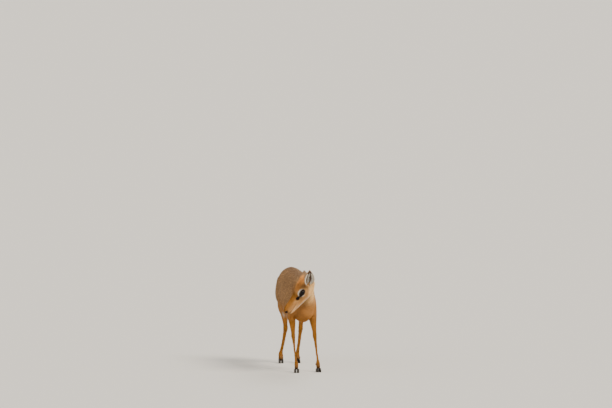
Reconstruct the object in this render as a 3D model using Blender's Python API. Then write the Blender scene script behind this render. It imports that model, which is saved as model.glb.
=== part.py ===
# A dik-dik, one of the smallest antelopes, as a still, life-size model of the living animal.
# It stands on four hooves, faces -Y with its head turned to its own right, and +Z is up.
# The animal is modelled whole, in metres, and parted with thin cuts into the pieces of its body.

import math
import random

import bmesh
import bpy
import numpy as np
from mathutils import Matrix, Vector
from mathutils.bvhtree import BVHTree

# Driving sizes of the body, in metres
WITHERS = 0.343
RUMP = 0.352
BRISKET = 0.174
BELLY = 0.188
CHEST_HALF = 0.042
BARREL_HALF = 0.0565
CHEST_FRONT = -0.176
BUTTOCK = 0.186

# Driving sizes of the legs: heights of the joints and the half thickness of the bones and coat
ELBOW_Z = 0.205
CARPUS_Z = 0.128
HOCK_Z = 0.127
FETLOCK_Z = 0.032
HOOF_TOP = 0.0165
CANNON_HALF = 0.0055
KNEE_HALF = 0.0080
FETLOCK_HALF = 0.0080

# Driving sizes of the head, along it, across it and above it, from where the neck meets it
HEAD_AT = (0.0001, -0.2242, 0.3302)
HEAD_YAW = math.radians(86)
HEAD_PITCH = math.radians(50)
HEAD_ROLL = math.radians(8)
HEAD_LENGTH = 0.1405
EYE_AT = (0.0495, 0.0176, -0.001)
EYE_RADIUS = 0.0138
EAR_AT = (0.013, 0.0216, 0.005)
EAR_LENGTH = 0.066
EAR_HALF_WIDTH = 0.0190
EAR_SKIN = 0.0015
GLAND_AT = (0.0765, -0.002)

# Gap between pieces that touch, and the fineness of the surface
GAP = 0.0003
VOXEL = 0.0025
RING = 20
BODY_FACES = 3900
HEAD_FACES = 7600

# Plain colours: red, green, blue, roughness
COAT = (0.36, 0.25, 0.15, 0.85)
FLANK = (0.30, 0.22, 0.15, 0.85)
TAN = (0.47, 0.27, 0.12, 0.85)
HORN_BLACK = (0.022, 0.018, 0.016, 0.4)
EYE_BLACK = (0.006, 0.004, 0.003, 0.06)


def clear_scene():
    for item in list(bpy.data.objects):
        bpy.data.objects.remove(item, do_unlink=True)


def finish_of(name, colour):
    material = bpy.data.materials.new(name)
    material.use_nodes = True
    shader = material.node_tree.nodes["Principled BSDF"]
    shader.inputs["Base Color"].default_value = (*colour[:3], 1)
    shader.inputs["Roughness"].default_value = colour[3]
    shader.inputs["Metallic"].default_value = 0
    return material


# Meshes: making objects, applying modifiers, joining and cutting


def make_object(name, bm):
    bmesh.ops.recalc_face_normals(bm, faces=bm.faces[:])
    mesh = bpy.data.meshes.new(name)
    bm.to_mesh(mesh)
    bm.free()
    item = bpy.data.objects.new(name, mesh)
    bpy.context.scene.collection.objects.link(item)
    return item


def remove(items):
    for item in items:
        bpy.data.objects.remove(item, do_unlink=True)


def apply_modifiers(item):
    evaluated = item.evaluated_get(bpy.context.evaluated_depsgraph_get())
    mesh = bpy.data.meshes.new_from_object(evaluated)
    item.modifiers.clear()
    item.data = mesh


def combine(item, others, operation):
    group = bpy.data.collections.new("pieces")
    bpy.context.scene.collection.children.link(group)
    for other in others:
        group.objects.link(other)
    step = item.modifiers.new("combine", "BOOLEAN")
    step.operation = operation
    step.solver = "MANIFOLD"
    step.operand_type = "COLLECTION"
    step.collection = group
    apply_modifiers(item)
    remove(others)
    bpy.data.collections.remove(group)
    keep_surface(item)


def surfaces(bm):
    seen = set()
    found = []
    for start in bm.verts:
        if start in seen:
            continue
        seen.add(start)
        island = [start]
        for vert in island:
            for edge in vert.link_edges:
                other = edge.other_vert(vert)
                if other not in seen:
                    seen.add(other)
                    island.append(other)
        found.append(island)
    return found


def keep_surface(item, seed=None):
    # Keeps the largest closed surface, or the one that passes nearest to a seed point
    bm = bmesh.new()
    bm.from_mesh(item.data)
    found = surfaces(bm)
    if seed is None:
        kept = max(found, key=len)
    else:
        kept = min(found, key=lambda island: min((v.co - Vector(seed)).length for v in island))
    kept = set(kept)
    bmesh.ops.delete(bm, geom=[v for v in bm.verts if v not in kept], context="VERTS")
    bm.to_mesh(item.data)
    bm.free()


def copy_of(item, name):
    twin = bpy.data.objects.new(name, item.data.copy())
    bpy.context.scene.collection.objects.link(twin)
    return twin


def pushed_out(item, distance):
    # A copy whose surface lies further out by the given distance
    twin = copy_of(item, "pushed")
    bm = bmesh.new()
    bm.from_mesh(twin.data)
    bm.normal_update()
    moves = [v.normal * distance for v in bm.verts]
    for vert, move in zip(bm.verts, moves):
        vert.co += move
    bm.to_mesh(twin.data)
    bm.free()
    return twin


def thin_out(item, faces):
    # Fewer triangles, kept where the surface bends most
    item.data.calc_loop_triangles()
    step = item.modifiers.new("thin", "DECIMATE")
    step.ratio = faces / len(item.data.loop_triangles)
    step.use_collapse_triangulate = True
    apply_modifiers(item)
    keep_surface(item)


def clear_of(item, neighbour):
    combine(item, [pushed_out(neighbour, GAP)], "DIFFERENCE")


# Shapes: rings along a path, balls and tapered blades


def eased(values, spot):
    # A smooth curve through the rows of values, read at a place counted in rows
    row = min(int(spot), len(values) - 2)
    part = spot - row
    before = values[max(row - 1, 0)]
    here = values[row]
    there = values[row + 1]
    after = values[min(row + 2, len(values) - 1)]
    slope_here = (there - before) / 2
    slope_there = (after - here) / 2
    square = part * part
    cube = square * part
    return (here * (2 * cube - 3 * square + 1) + slope_here * (cube - 2 * square + part)
            + there * (3 * square - 2 * cube) + slope_there * (cube - square))


def closed_tube(name, rings):
    # A closed surface over rings of points, each end drawn to the middle of its ring
    bm = bmesh.new()
    rows = [[bm.verts.new(point) for point in ring] for ring in rings]
    count = len(rings[0])
    for first, second in zip(rows, rows[1:]):
        for k in range(count):
            after = (k + 1) % count
            bm.faces.new((first[k], first[after], second[after], second[k]))
    for row in (rows[0], rows[-1]):
        middle = bm.verts.new(sum((v.co for v in row), Vector()) / count)
        for k in range(count):
            bm.faces.new((row[k], row[(k + 1) % count], middle))
    return make_object(name, bm)


def limb(name, stations, steps=4, count=RING):
    # Each station is a place, its half width across the body and its half depth along the path's side
    table = [np.array(station) for station in stations]
    spots = np.linspace(0, len(table) - 1, (len(table) - 1) * steps + 1)
    rows = [eased(table, spot) for spot in spots]
    rings = []
    for k, row in enumerate(rows):
        ahead = rows[min(k + 1, len(rows) - 1)][:3] - rows[max(k - 1, 0)][:3]
        ahead = Vector(ahead).normalized()
        across = Vector((1, 0, 0))
        across = (across - ahead * across.dot(ahead)).normalized()
        third = ahead.cross(across)
        turns = [2 * math.pi * n / count for n in range(count)]
        centre = Vector(row[:3])
        rings.append([centre + across * row[3] * math.cos(a) + third * row[4] * math.sin(a)
                      for a in turns])
    return closed_tube(name, rings)


def ball(name, centre, radii, turn=None, segments=24, bands=14):
    bm = bmesh.new()
    bmesh.ops.create_uvsphere(bm, u_segments=segments, v_segments=bands, radius=1)
    frame = Matrix.Diagonal((*radii, 1))
    if turn is not None:
        frame = turn @ frame
    bmesh.ops.transform(bm, matrix=Matrix.Translation(centre) @ frame, verts=bm.verts[:])
    return make_object(name, bm)


# The head's own directions: along it to the nose, across to its left, and up through its crown
nose_way = Vector((-math.sin(HEAD_YAW) * math.cos(HEAD_PITCH),
                   -math.cos(HEAD_YAW) * math.cos(HEAD_PITCH), -math.sin(HEAD_PITCH)))
level_left = Vector((-nose_way.y, nose_way.x, 0)).normalized()
level_crown = nose_way.cross(level_left)
left_way = level_left * math.cos(HEAD_ROLL) + level_crown * math.sin(HEAD_ROLL)
crown_way = level_crown * math.cos(HEAD_ROLL) - level_left * math.sin(HEAD_ROLL)
head_turn = Matrix((nose_way, left_way, crown_way)).transposed().to_4x4()


def on_head(along, aside, above):
    return Vector(HEAD_AT) + nose_way * along + left_way * aside + crown_way * above


def head_tube(name, stations, count=RING, steps=3):
    # Each station is a place along the head, its top, its bottom and its half width
    table = [np.array(station) for station in stations]
    spots = np.linspace(0, len(table) - 1, (len(table) - 1) * steps + 1)
    rings = []
    for spot in spots:
        along, top, bottom, half = eased(table, spot)
        middle = (top + bottom) / 2
        tall = (top - bottom) / 2
        turns = [2 * math.pi * n / count for n in range(count)]
        rings.append([on_head(along, half * math.cos(a), middle + tall * math.sin(a)) for a in turns])
    return closed_tube(name, rings)


# Torso: rings from the breast to the buttocks, each with its top, bottom and half width
def torso_tube():
    stations = (
        (CHEST_FRONT, 0.268, 0.208, 0.020),
        (-0.160, 0.302, 0.190, 0.033),
        (-0.125, WITHERS - 0.009, BRISKET + 0.003, CHEST_HALF - 0.004),
        (-0.085, WITHERS, BRISKET, CHEST_HALF + 0.003),
        (-0.030, WITHERS - 0.002, BRISKET + 0.004, BARREL_HALF - 0.005),
        (0.030, WITHERS + 0.002, BELLY - 0.002, BARREL_HALF),
        (0.085, RUMP - 0.002, BELLY + 0.010, BARREL_HALF - 0.001),
        (0.130, RUMP, BELLY + 0.030, BARREL_HALF - 0.007),
        (0.164, RUMP - 0.013, 0.240, 0.038),
        (BUTTOCK, 0.318, 0.268, 0.018),
    )
    table = [np.array(station) for station in stations]
    spots = np.linspace(0, len(table) - 1, (len(table) - 1) * 4 + 1)
    rings = []
    for spot in spots:
        y, top, bottom, half = eased(table, spot)
        middle = bottom + (top - bottom) * 0.52
        ring = []
        for n in range(RING * 2):
            turn = math.pi * n / RING
            tall = top - middle if math.sin(turn) > 0 else middle - bottom
            ring.append(Vector((half * math.cos(turn), y, middle + tall * math.sin(turn))))
        rings.append(ring)
    return closed_tube("torso_form", rings)


# Neck: short and deep at the shoulders, turning to the animal's right as it rises to the skull
def neck_tube():
    return limb("neck_form", (
        (0.0000, -0.095, 0.262, 0.0380, 0.066),
        (0.0002, -0.140, 0.270, 0.0263, 0.056),
        (0.0035, -0.172, 0.284, 0.0199, 0.043),
        (0.0040, -0.197, 0.301, 0.0160, 0.0345),
        (0.0036, -0.215, 0.317, 0.0156, 0.0285),
        (0.0010, -0.227, 0.327, 0.0150, 0.0190),
    ))


# Legs: each from the mass at its top down to the pastern
FETLOCK_BACK = 0.007
FORE_TOP = ((0.016, -0.100, 0.292, 0.013, 0.030), (0.0275, -0.122, 0.250, 0.0150, 0.034))
HIND_TOP = ((0.026, 0.118, 0.312, 0.024, 0.046), (0.0345, 0.108, 0.268, 0.0235, 0.051))


def fore_leg(side, elbow, carpus, foot):
    # The elbow, carpus and foot are each a place across the body and along it
    tops = [(side * x, y, z, across, deep) for x, y, z, across, deep in FORE_TOP]
    fetlock = (foot[0], foot[1] + FETLOCK_BACK)
    cannon = ((carpus[0] + fetlock[0]) / 2, (carpus[1] + fetlock[1]) / 2)
    return limb("fore_leg_form", tops + [
        (*elbow, ELBOW_Z, 0.0148, 0.0245),
        (*blend(elbow, carpus, 0.42), 0.171, 0.0108, 0.0138),
        (*blend(elbow, carpus, 0.85), 0.143, KNEE_HALF - 0.0004, KNEE_HALF + 0.0006),
        (*carpus, CARPUS_Z, KNEE_HALF, KNEE_HALF + 0.0008),
        (*blend(carpus, fetlock, 0.17), 0.112, CANNON_HALF + 0.0008, CANNON_HALF + 0.0012),
        (*cannon, 0.076, CANNON_HALF, CANNON_HALF + 0.0003),
        (*blend(carpus, fetlock, 0.86), 0.045, CANNON_HALF + 0.0004, CANNON_HALF + 0.0010),
        (*fetlock, FETLOCK_Z, FETLOCK_HALF, FETLOCK_HALF + 0.0006),
        (foot[0], foot[1] + 0.001, 0.020, FETLOCK_HALF + 0.0002, FETLOCK_HALF),
        (*foot, 0.011, FETLOCK_HALF + 0.0004, FETLOCK_HALF + 0.0006),
        (*foot, 0.005, FETLOCK_HALF + 0.0004, FETLOCK_HALF + 0.0006),
    ])


def hind_leg(side, stifle, hock, foot):
    tops = [(side * x, y, z, across, deep) for x, y, z, across, deep in HIND_TOP]
    fetlock = (foot[0], foot[1] + FETLOCK_BACK)
    return limb("hind_leg_form", tops + [
        (*stifle, 0.226, 0.0200, 0.0370),
        (*blend(stifle, hock, 0.42), 0.184, 0.0135, 0.0205),
        (*blend(stifle, hock, 0.84), 0.147, KNEE_HALF, 0.0118),
        (*hock, HOCK_Z, KNEE_HALF + 0.0002, 0.0114),
        (*blend(hock, fetlock, 0.16), 0.108, CANNON_HALF + 0.0010, CANNON_HALF + 0.0022),
        (*blend(hock, fetlock, 0.50), 0.072, CANNON_HALF + 0.0002, CANNON_HALF + 0.0006),
        (*blend(hock, fetlock, 0.85), 0.045, CANNON_HALF + 0.0006, CANNON_HALF + 0.0010),
        (*fetlock, FETLOCK_Z, FETLOCK_HALF, FETLOCK_HALF + 0.0006),
        (foot[0], foot[1] + 0.001, 0.020, FETLOCK_HALF + 0.0002, FETLOCK_HALF),
        (*foot, 0.011, FETLOCK_HALF + 0.0004, FETLOCK_HALF + 0.0006),
        (*foot, 0.005, FETLOCK_HALF + 0.0004, FETLOCK_HALF + 0.0006),
    ])


def blend(first, second, share):
    return tuple(a + (b - a) * share for a, b in zip(first, second))


FEET = {
    "fore_right": (-0.032, -0.149),
    "fore_left": (0.048, -0.143),
    "hind_right": (-0.027, 0.174),
    "hind_left": (0.033, 0.168),
}


# The thick muscle behind each thigh, down from the rump
HAMSTRING = (0.0175, 0.0180, 0.0440)
HAMSTRING_TURN = Matrix.Rotation(math.radians(-10), 4, "X")
HAMSTRINGS_AT = ((-0.0290, 0.1394, 0.2220), (0.0365, 0.1394, 0.2220))


def leg_forms():
    legs = [
        fore_leg(-1, (-0.0405, -0.104), (-0.0392, -0.124), FEET["fore_right"]),
        fore_leg(1, (0.0345, -0.100), (0.0392, -0.121), FEET["fore_left"]),
        hind_leg(-1, (-0.0330, 0.094), (-0.0110, 0.170), FEET["hind_right"]),
        hind_leg(1, (0.0355, 0.092), (0.0430, 0.164), FEET["hind_left"]),
    ]
    return legs + [ball("hamstring", centre, HAMSTRING, HAMSTRING_TURN) for centre in HAMSTRINGS_AT]


# Head: skull and muzzle, lower jaw, and the bony rims that carry the eyes
def head_forms():
    skull = head_tube("skull_form", (
        (-0.0090, 0.0100, -0.0140, 0.0120),
        (-0.0040, 0.0185, -0.0240, 0.0200),
        (0.0100, 0.0245, -0.0290, 0.0262),
        (0.0300, 0.0275, -0.0300, 0.0268),
        (0.0500, 0.0252, -0.0280, 0.0258),
        (0.0680, 0.0205, -0.0245, 0.0212),
        (0.0850, 0.0172, -0.0215, 0.0165),
        (0.1020, 0.0150, -0.0185, 0.0137),
        (0.1180, 0.0135, -0.0160, 0.0123),
        (0.1300, 0.0112, -0.0130, 0.0108),
        (0.1370, 0.0066, -0.0090, 0.0076),
        (HEAD_LENGTH, 0.0010, -0.0030, 0.0020),
    ))
    jaw = head_tube("jaw_form", (
        (0.0200, -0.0140, -0.0340, 0.0170),
        (0.0450, -0.0160, -0.0330, 0.0145),
        (0.0700, -0.0160, -0.0290, 0.0108),
        (0.0950, -0.0150, -0.0260, 0.0088),
        (0.1150, -0.0140, -0.0240, 0.0078),
        (0.1270, -0.0130, -0.0212, 0.0066),
        (0.1320, -0.0150, -0.0180, 0.0025),
    ))
    along, aside, above = EYE_AT
    rims = [ball("rim", on_head(along - 0.001, side * (aside - 0.0035), above + 0.001),
                 (0.0215, 0.0128, 0.0180), head_turn) for side in (-1, 1)]
    return [skull, jaw] + rims


# The whole animal as one closed skin, remeshed evenly and smoothed
def whole_body():
    whole = torso_tube()
    combine(whole, [neck_tube()] + leg_forms() + head_forms(), "UNION")
    grid = whole.modifiers.new("even", "REMESH")
    grid.mode = "VOXEL"
    grid.voxel_size = VOXEL
    relax = whole.modifiers.new("relax", "SMOOTH")
    relax.factor = 0.5
    relax.iterations = 5
    apply_modifiers(whole)
    keep_surface(whole)
    return whole


# Cuts: blocks that part the skin into the pieces of the body, a gap apart
def half_block(place, facing, shift, reach=0.5):
    # A cube whose back face lies on the cut, moved ahead by the shift
    facing = Vector(facing).normalized()
    turn = facing.to_track_quat("Z", "Y").to_matrix().to_4x4()
    centre = Vector(place) + facing * (reach / 2 + shift)
    bm = bmesh.new()
    bmesh.ops.create_cube(bm, size=reach)
    bmesh.ops.transform(bm, matrix=Matrix.Translation(centre) @ turn, verts=bm.verts[:])
    return make_object("block", bm)


def leg_block(side, groin, slope, front, back, inset):
    # A prism round one leg: upright at the middle of the animal, and slanted over the thigh or shoulder
    reach = 0.10
    lift = inset * math.hypot(1, slope)
    near = side * (GAP / 2 + inset)
    far = side * reach
    low = -0.01
    profile = [(near, low), (near, groin - lift), (far, groin + slope * reach - lift), (far, low)]
    bm = bmesh.new()
    ends = [[bm.verts.new((x, y, z)) for x, z in profile] for y in (front + inset, back - inset)]
    count = len(profile)
    for k in range(count):
        after = (k + 1) % count
        bm.faces.new((ends[0][k], ends[0][after], ends[1][after], ends[1][k]))
    for end in ends:
        bm.faces.new(end)
    return make_object("block", bm)


def part_off(whole, name, inner, outer, seed):
    # The piece inside the inner block leaves the whole, which loses the outer block
    piece = copy_of(whole, name)
    combine(piece, [inner], "INTERSECT")
    keep_surface(piece, seed)
    combine(whole, [outer], "DIFFERENCE")
    return piece


HEAD_CUT = (0.0, -0.197, 0.300)
HEAD_FACING = (-0.60, -0.75, 0.20)
NECK_CUT = (0.0, -0.150, 0.285)
NECK_FACING = (0.0, -0.82, 0.573)


# Each leg's cut: how high it starts at the middle, how steeply it rises outward, its front and its back
FORE_CUT = (0.160, 1.95, -0.24, -0.052)
HIND_CUT = (0.178, 2.35, 0.052, 0.26)
ON_NECK = (-0.005, -0.172, 0.325)


def part_body(whole):
    # The head comes from a finer copy than the rest
    half = GAP / 2
    head = copy_of(whole, "head")
    thin_out(head, HEAD_FACES)
    combine(head, [half_block(HEAD_CUT, HEAD_FACING, half)], "INTERSECT")
    thin_out(whole, BODY_FACES)
    combine(whole, [half_block(HEAD_CUT, HEAD_FACING, -half)], "DIFFERENCE")
    neck = part_off(whole, "neck", half_block(NECK_CUT, NECK_FACING, half),
                    half_block(NECK_CUT, NECK_FACING, -half), ON_NECK)
    legs = {}
    for name, foot in FEET.items():
        side = 1 if name.endswith("left") else -1
        cut = FORE_CUT if name.startswith("fore") else HIND_CUT
        legs[name] = part_off(whole, "leg_" + name, leg_block(side, *cut, GAP), leg_block(side, *cut, 0),
                              (*foot, FETLOCK_Z))
    whole.name = "torso"
    return head, neck, legs, whole


# Hooves: two pointed toes to a foot, flat below, with the small false hooves behind the fetlock
# The hair line slopes down from the front of the hoof to its heel
HAIR_LINE_SLOPE = 0.35
FALSE_HOOF = (0.0030, 0.0028, 0.0052)
FALSE_HOOF_AT = (0.0046, 0.0140, 0.0262)
FALSE_HOOF_TILT = math.radians(38)
TURN_OUT = math.radians(7)
TOE_LENGTH = 0.027
TOE_WIDTH = 0.0088
TOE_SPREAD = 0.0052
TOE_AHEAD = 0.002
TOE_NARROWS = 0.55
TOE_TOP_SHARE = 0.62
TOE_POINTS = 14
# Each level of a toe: its height, its shares of full length and width, and how far back it sits
TOE_LEVELS = ((0.0, 0.94, 0.90, 0.0), (0.0016, 1.0, 1.0, 0.0), (0.009, 0.84, 0.98, 0.0008),
              (HOOF_TOP, TOE_TOP_SHARE, 0.90, 0.0020))


def toe(name, foot, side, turn_out):
    # Rings from the sole up to the coronet, each an outline pointed in front and round behind
    rings = []
    for height, longer, wider, back in TOE_LEVELS:
        ring = []
        for k in range(TOE_POINTS):
            turn = 2 * math.pi * k / TOE_POINTS
            ahead = math.cos(turn)
            narrow = 1 - TOE_NARROWS * max(ahead, 0) ** 1.5
            x = side * TOE_SPREAD + math.sin(turn) * TOE_WIDTH / 2 * wider * narrow
            y = -ahead * TOE_LENGTH / 2 * longer - TOE_AHEAD + back
            drop = HAIR_LINE_SLOPE * (y + TOE_LENGTH / 2 * TOE_TOP_SHARE) * (height / HOOF_TOP) ** 2
            ring.append(Vector((x, y, max(height - drop, 0))))
        rings.append(ring)
    place = Matrix.Translation((*foot, 0)) @ Matrix.Rotation(turn_out, 4, "Z")
    return closed_tube(name, [[place @ point for point in ring] for ring in rings])


def false_hoof(name, foot, side, turn_out, leg):
    turned = Matrix.Rotation(turn_out, 4, "Z")
    aside, back, height = FALSE_HOOF_AT
    centre = Matrix.Translation((*foot, 0)) @ turned @ Vector((side * aside, back, height))
    item = ball(name, centre, FALSE_HOOF, turned @ Matrix.Rotation(FALSE_HOOF_TILT, 4, "X"), 8, 5)
    clear_of(item, leg)
    return item


def place_of_front(foot, turn_out):
    # The front of the hair line, where it lies highest
    ahead = Matrix.Rotation(turn_out, 2) @ Vector((0, -TOE_LENGTH / 2 * TOE_TOP_SHARE))
    return foot[0] + ahead.x, foot[1] + ahead.y


def slope_of(turn_out):
    return Matrix.Rotation(turn_out, 3, "Z") @ Vector((0, -HAIR_LINE_SLOPE, -1))


def feet(legs):
    for name, foot in FEET.items():
        outward = 1 if name.endswith("left") else -1
        turn_out = outward * TURN_OUT
        leg = legs[name]
        front = place_of_front(foot, turn_out)
        below = half_block((*front, HOOF_TOP), slope_of(turn_out), -GAP, 0.2)
        combine(leg, [below], "DIFFERENCE")
        for word, side in (("inner", -outward), ("outer", outward)):
            toe("hoof_" + name + "_" + word, foot, side, turn_out)
            false_hoof("false_hoof_" + name + "_" + word, foot, side, turn_out, leg)


# Tail: a short flat brush that hangs close against the rump
def make_tail(torso):
    item = limb("tail", (
        (0.000, 0.172, 0.3200, 0.0075, 0.0060),
        (0.000, 0.1875, 0.3110, 0.0095, 0.0068),
        (0.000, 0.1965, 0.2960, 0.0105, 0.0066),
        (0.000, 0.1990, 0.2790, 0.0085, 0.0050),
        (0.001, 0.1980, 0.2660, 0.0035, 0.0022),
    ), 3, 14)
    clear_of(item, torso)


# Ears: a leaf rolled into a cup, narrow and nearly closed at its root, open and pointed above
EAR_WAY = (-0.627, 0.60, 0.496)
EAR_TURN = math.radians(-18)
EAR_ROWS = 10
EAR_COLUMNS = 8
EAR_WIDEST = 0.42
EAR_ROOT_HALF = 0.0072
EAR_BEND = 0.006
EAR_SUNK = 0.004
EAR_BURR = (0.0080, 0.0080, 0.0065)


def ear_width(share):
    # Half the width of the leaf, from root to tip
    if share < EAR_WIDEST:
        part = share / EAR_WIDEST
        return EAR_ROOT_HALF + (EAR_HALF_WIDTH - EAR_ROOT_HALF) * part * part * (3 - 2 * part)
    part = (share - EAR_WIDEST) / (1 - EAR_WIDEST)
    return EAR_HALF_WIDTH * math.cos(part * math.pi / 2) ** 0.85 + 0.0006


def ear_roll(share):
    # Half the angle through which the leaf is rolled
    return math.radians(42 + 100 * (1 - share) ** 2.2)


def make_ear(name, side, head, neck):
    way = nose_way * EAR_WAY[0] + left_way * (EAR_WAY[1] * side) + crown_way * EAR_WAY[2]
    way.normalize()
    open_to = left_way * (side * math.cos(EAR_TURN)) + nose_way * math.sin(EAR_TURN)
    open_to = (open_to - way * open_to.dot(way)).normalized()
    across = way.cross(open_to)
    root = on_head(EAR_AT[0], side * EAR_AT[1], EAR_AT[2])
    inner = []
    outer = []
    for row in range(EAR_ROWS + 1):
        share = row / EAR_ROWS
        roll = ear_roll(share)
        radius = ear_width(share) / math.sin(min(roll, math.pi / 2))
        lean = open_to * (EAR_BEND * share * share)
        spine = root + way * (EAR_LENGTH * share - EAR_SUNK) + lean
        skin = EAR_SKIN * (1 - 0.5 * share)
        for line, reach in ((inner, radius), (outer, radius + skin)):
            points = []
            for column in range(EAR_COLUMNS + 1):
                turn = roll * (2 * column / EAR_COLUMNS - 1)
                centre = spine + open_to * radius
                out = across * math.sin(turn) - open_to * math.cos(turn)
                points.append(centre + out * reach)
            line.append(points)
    ear = shell(name, inner, outer)
    burr = ball("burr", root - way * 0.005 + open_to * EAR_ROOT_HALF, EAR_BURR,
                way.to_track_quat("Z", "Y").to_matrix().to_4x4(), 14, 8)
    combine(ear, [burr], "UNION")
    clear_of(ear, head)
    clear_of(ear, neck)


def shell(name, inner, outer):
    # A closed sheet between two grids of points that share their outline's shape
    bm = bmesh.new()
    sheets = [[[bm.verts.new(point) for point in row] for row in grid] for grid in (inner, outer)]
    rows = len(inner) - 1
    columns = len(inner[0]) - 1
    for grid in sheets:
        for i in range(rows):
            for j in range(columns):
                corners = (grid[i][j], grid[i][j + 1], grid[i + 1][j + 1], grid[i + 1][j])
                bm.faces.new(corners[:3])
                bm.faces.new((corners[0], corners[2], corners[3]))
    edge = [(0, j) for j in range(columns)] + [(i, columns) for i in range(rows)]
    edge += [(rows, j) for j in range(columns, 0, -1)] + [(i, 0) for i in range(rows, 0, -1)]
    for (i, j), (m, n) in zip(edge, edge[1:] + edge[:1]):
        bm.faces.new((sheets[0][i][j], sheets[0][m][n], sheets[1][m][n], sheets[1][i][j]))
    return make_object(name, bm)


# Eyes: round balls, with lids, a dark gland pit in front of each, nostrils and the line of the mouth
LID_ALONG = 0.0112
LID_ABOVE = 0.0090
LID_HALF = 0.0019
LID_STEPS = 20
LID_DROP = 0.0012
GLAND = (0.0036, 0.0017, 0.0024)
NOSTRIL = (0.0028, 0.0016, 0.0016)
MOUTH_CORNER = 0.0935
MOUTH_LEVEL = -0.0130
NOSTRIL_AT = (0.1300, -0.0005)


def surface_point(tree, along, above, side):
    # Where a line from the side meets the head at a place in profile
    start = on_head(along, side * 0.06, above)
    return tree.ray_cast(start, left_way * -side)[0]


def bent_tube(name, points, radii, count=6, closed=False):
    rings = []
    total = len(points)
    for k, point in enumerate(points):
        if closed:
            ahead = points[(k + 1) % total] - points[k - 1]
        else:
            ahead = points[min(k + 1, total - 1)] - points[max(k - 1, 0)]
        ahead.normalize()
        across = ahead.orthogonal().normalized()
        if abs(ahead.dot(left_way)) < 0.9:
            across = (left_way - ahead * left_way.dot(ahead)).normalized()
        third = ahead.cross(across)
        turns = [2 * math.pi * n / count for n in range(count)]
        rings.append([point + (across * math.cos(a) + third * math.sin(a)) * radii[k] for a in turns])
    if not closed:
        return closed_tube(name, rings)
    bm = bmesh.new()
    rows = [[bm.verts.new(point) for point in ring] for ring in rings]
    for first, second in zip(rows, rows[1:] + rows[:1]):
        for k in range(count):
            after = (k + 1) % count
            bm.faces.new((first[k], first[after], second[after], second[k]))
    return make_object(name, bm)


def head_features(head):
    bm = bmesh.new()
    bm.from_mesh(head.data)
    tree = BVHTree.FromBMesh(bm)
    bm.free()
    rims = []
    cuts = []
    for side in (-1, 1):
        along, aside, above = EYE_AT
        ring = []
        for k in range(LID_STEPS):
            turn = 2 * math.pi * k / LID_STEPS
            drop = -LID_DROP * math.cos(turn)
            x = LID_ALONG * math.cos(turn)
            z = LID_ABOVE * math.sin(turn) + drop
            out = math.sqrt(max(EYE_RADIUS ** 2 - x * x - z * z, 0)) + 0.0004
            ring.append(on_head(along + x, side * (aside + out), above + z))
        rims.append(bent_tube("lid", ring, [LID_HALF] * LID_STEPS, 6, True))
        pit = surface_point(tree, *GLAND_AT, side)
        cuts.append(ball("gland", pit + left_way * (side * 0.0006), GLAND, head_turn, 12, 8))
        nostril = surface_point(tree, NOSTRIL_AT[0], NOSTRIL_AT[1], side)
        cuts.append(ball("nostril", nostril, NOSTRIL, head_turn, 10, 6))
    sides = [[surface_point(tree, MOUTH_CORNER + 0.0052 * k, MOUTH_LEVEL, side) for k in range(7)]
             for side in (-1, 1)]
    front = [tree.ray_cast(on_head(0.2, aside, MOUTH_LEVEL), -nose_way)[0] for aside in (-0.0045, 0, 0.0045)]
    line = sides[0] + front + sides[1][::-1]
    depths = [0.0004, 0.0007] + [0.0009] * (len(line) - 4) + [0.0007, 0.0004]
    cuts.append(bent_tube("mouth", line, depths, 6))
    combine(head, rims + crest_locks(tree), "UNION")
    combine(head, cuts, "DIFFERENCE")
    for word, side in (("right", -1), ("left", 1)):
        socket = ball("socket", on_head(EYE_AT[0], side * EYE_AT[1], EYE_AT[2]),
                      (EYE_RADIUS + GAP,) * 3, head_turn, 18, 12)
        combine(head, [socket], "DIFFERENCE")
        ball("eye_" + word, on_head(EYE_AT[0], side * EYE_AT[1], EYE_AT[2]),
             (EYE_RADIUS,) * 3, head_turn, 18, 12)


# Crest: flat tapered locks on the crown, sweeping back and bending, in rows that overlap
CREST_COUNTS = (4, 5, 6, 6, 5)
CREST_LENGTH = 0.025
CREST_FRONT = 0.047
CREST_STEP = 0.0072
LOCK_HALF_WIDE = 0.0042
LOCK_HALF_THICK = 0.0011
LOCK_TIP = 0.0003


def crest_locks(tree):
    rng = random.Random(7)
    locks = []
    for row, count in enumerate(CREST_COUNTS):
        along = CREST_FRONT - CREST_STEP * row
        for k in range(count):
            aside = (k - (count - 1) / 2) * 0.0052 + rng.uniform(-0.0006, 0.0006)
            root = tree.ray_cast(on_head(along, aside, 0.06), -crown_way)[0]
            length = CREST_LENGTH * (0.70 + 0.10 * row) * rng.uniform(0.9, 1.1)
            locks.append(lock(root - crown_way * 0.0024, length, aside, rng.uniform(-0.10, 0.10)))
    return locks


def lock(root, length, aside, lean):
    # A blade of five rings, wide and thin, that rises and bends back along the head
    rings = []
    steps = 4
    for k in range(steps + 1):
        share = k / steps
        rise = math.sin(share * 1.9) * 0.30
        back = share * (0.55 + 0.40 * share)
        spread = share * (lean + aside * 12)
        tip_way = crown_way * rise - nose_way * back + left_way * spread
        centre = root + tip_way * length
        half_wide = LOCK_HALF_WIDE * (1 - share ** 1.6) + LOCK_TIP
        half_thick = LOCK_HALF_THICK * (1 - share) + LOCK_TIP
        up = (crown_way * (0.55 + 0.45 * share) + nose_way * (0.75 - 0.6 * share)).normalized()
        rings.append([centre + left_way * half_wide, centre + up * half_thick,
                      centre - left_way * half_wide, centre - up * half_thick])
    return closed_tube("lock", rings)


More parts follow.
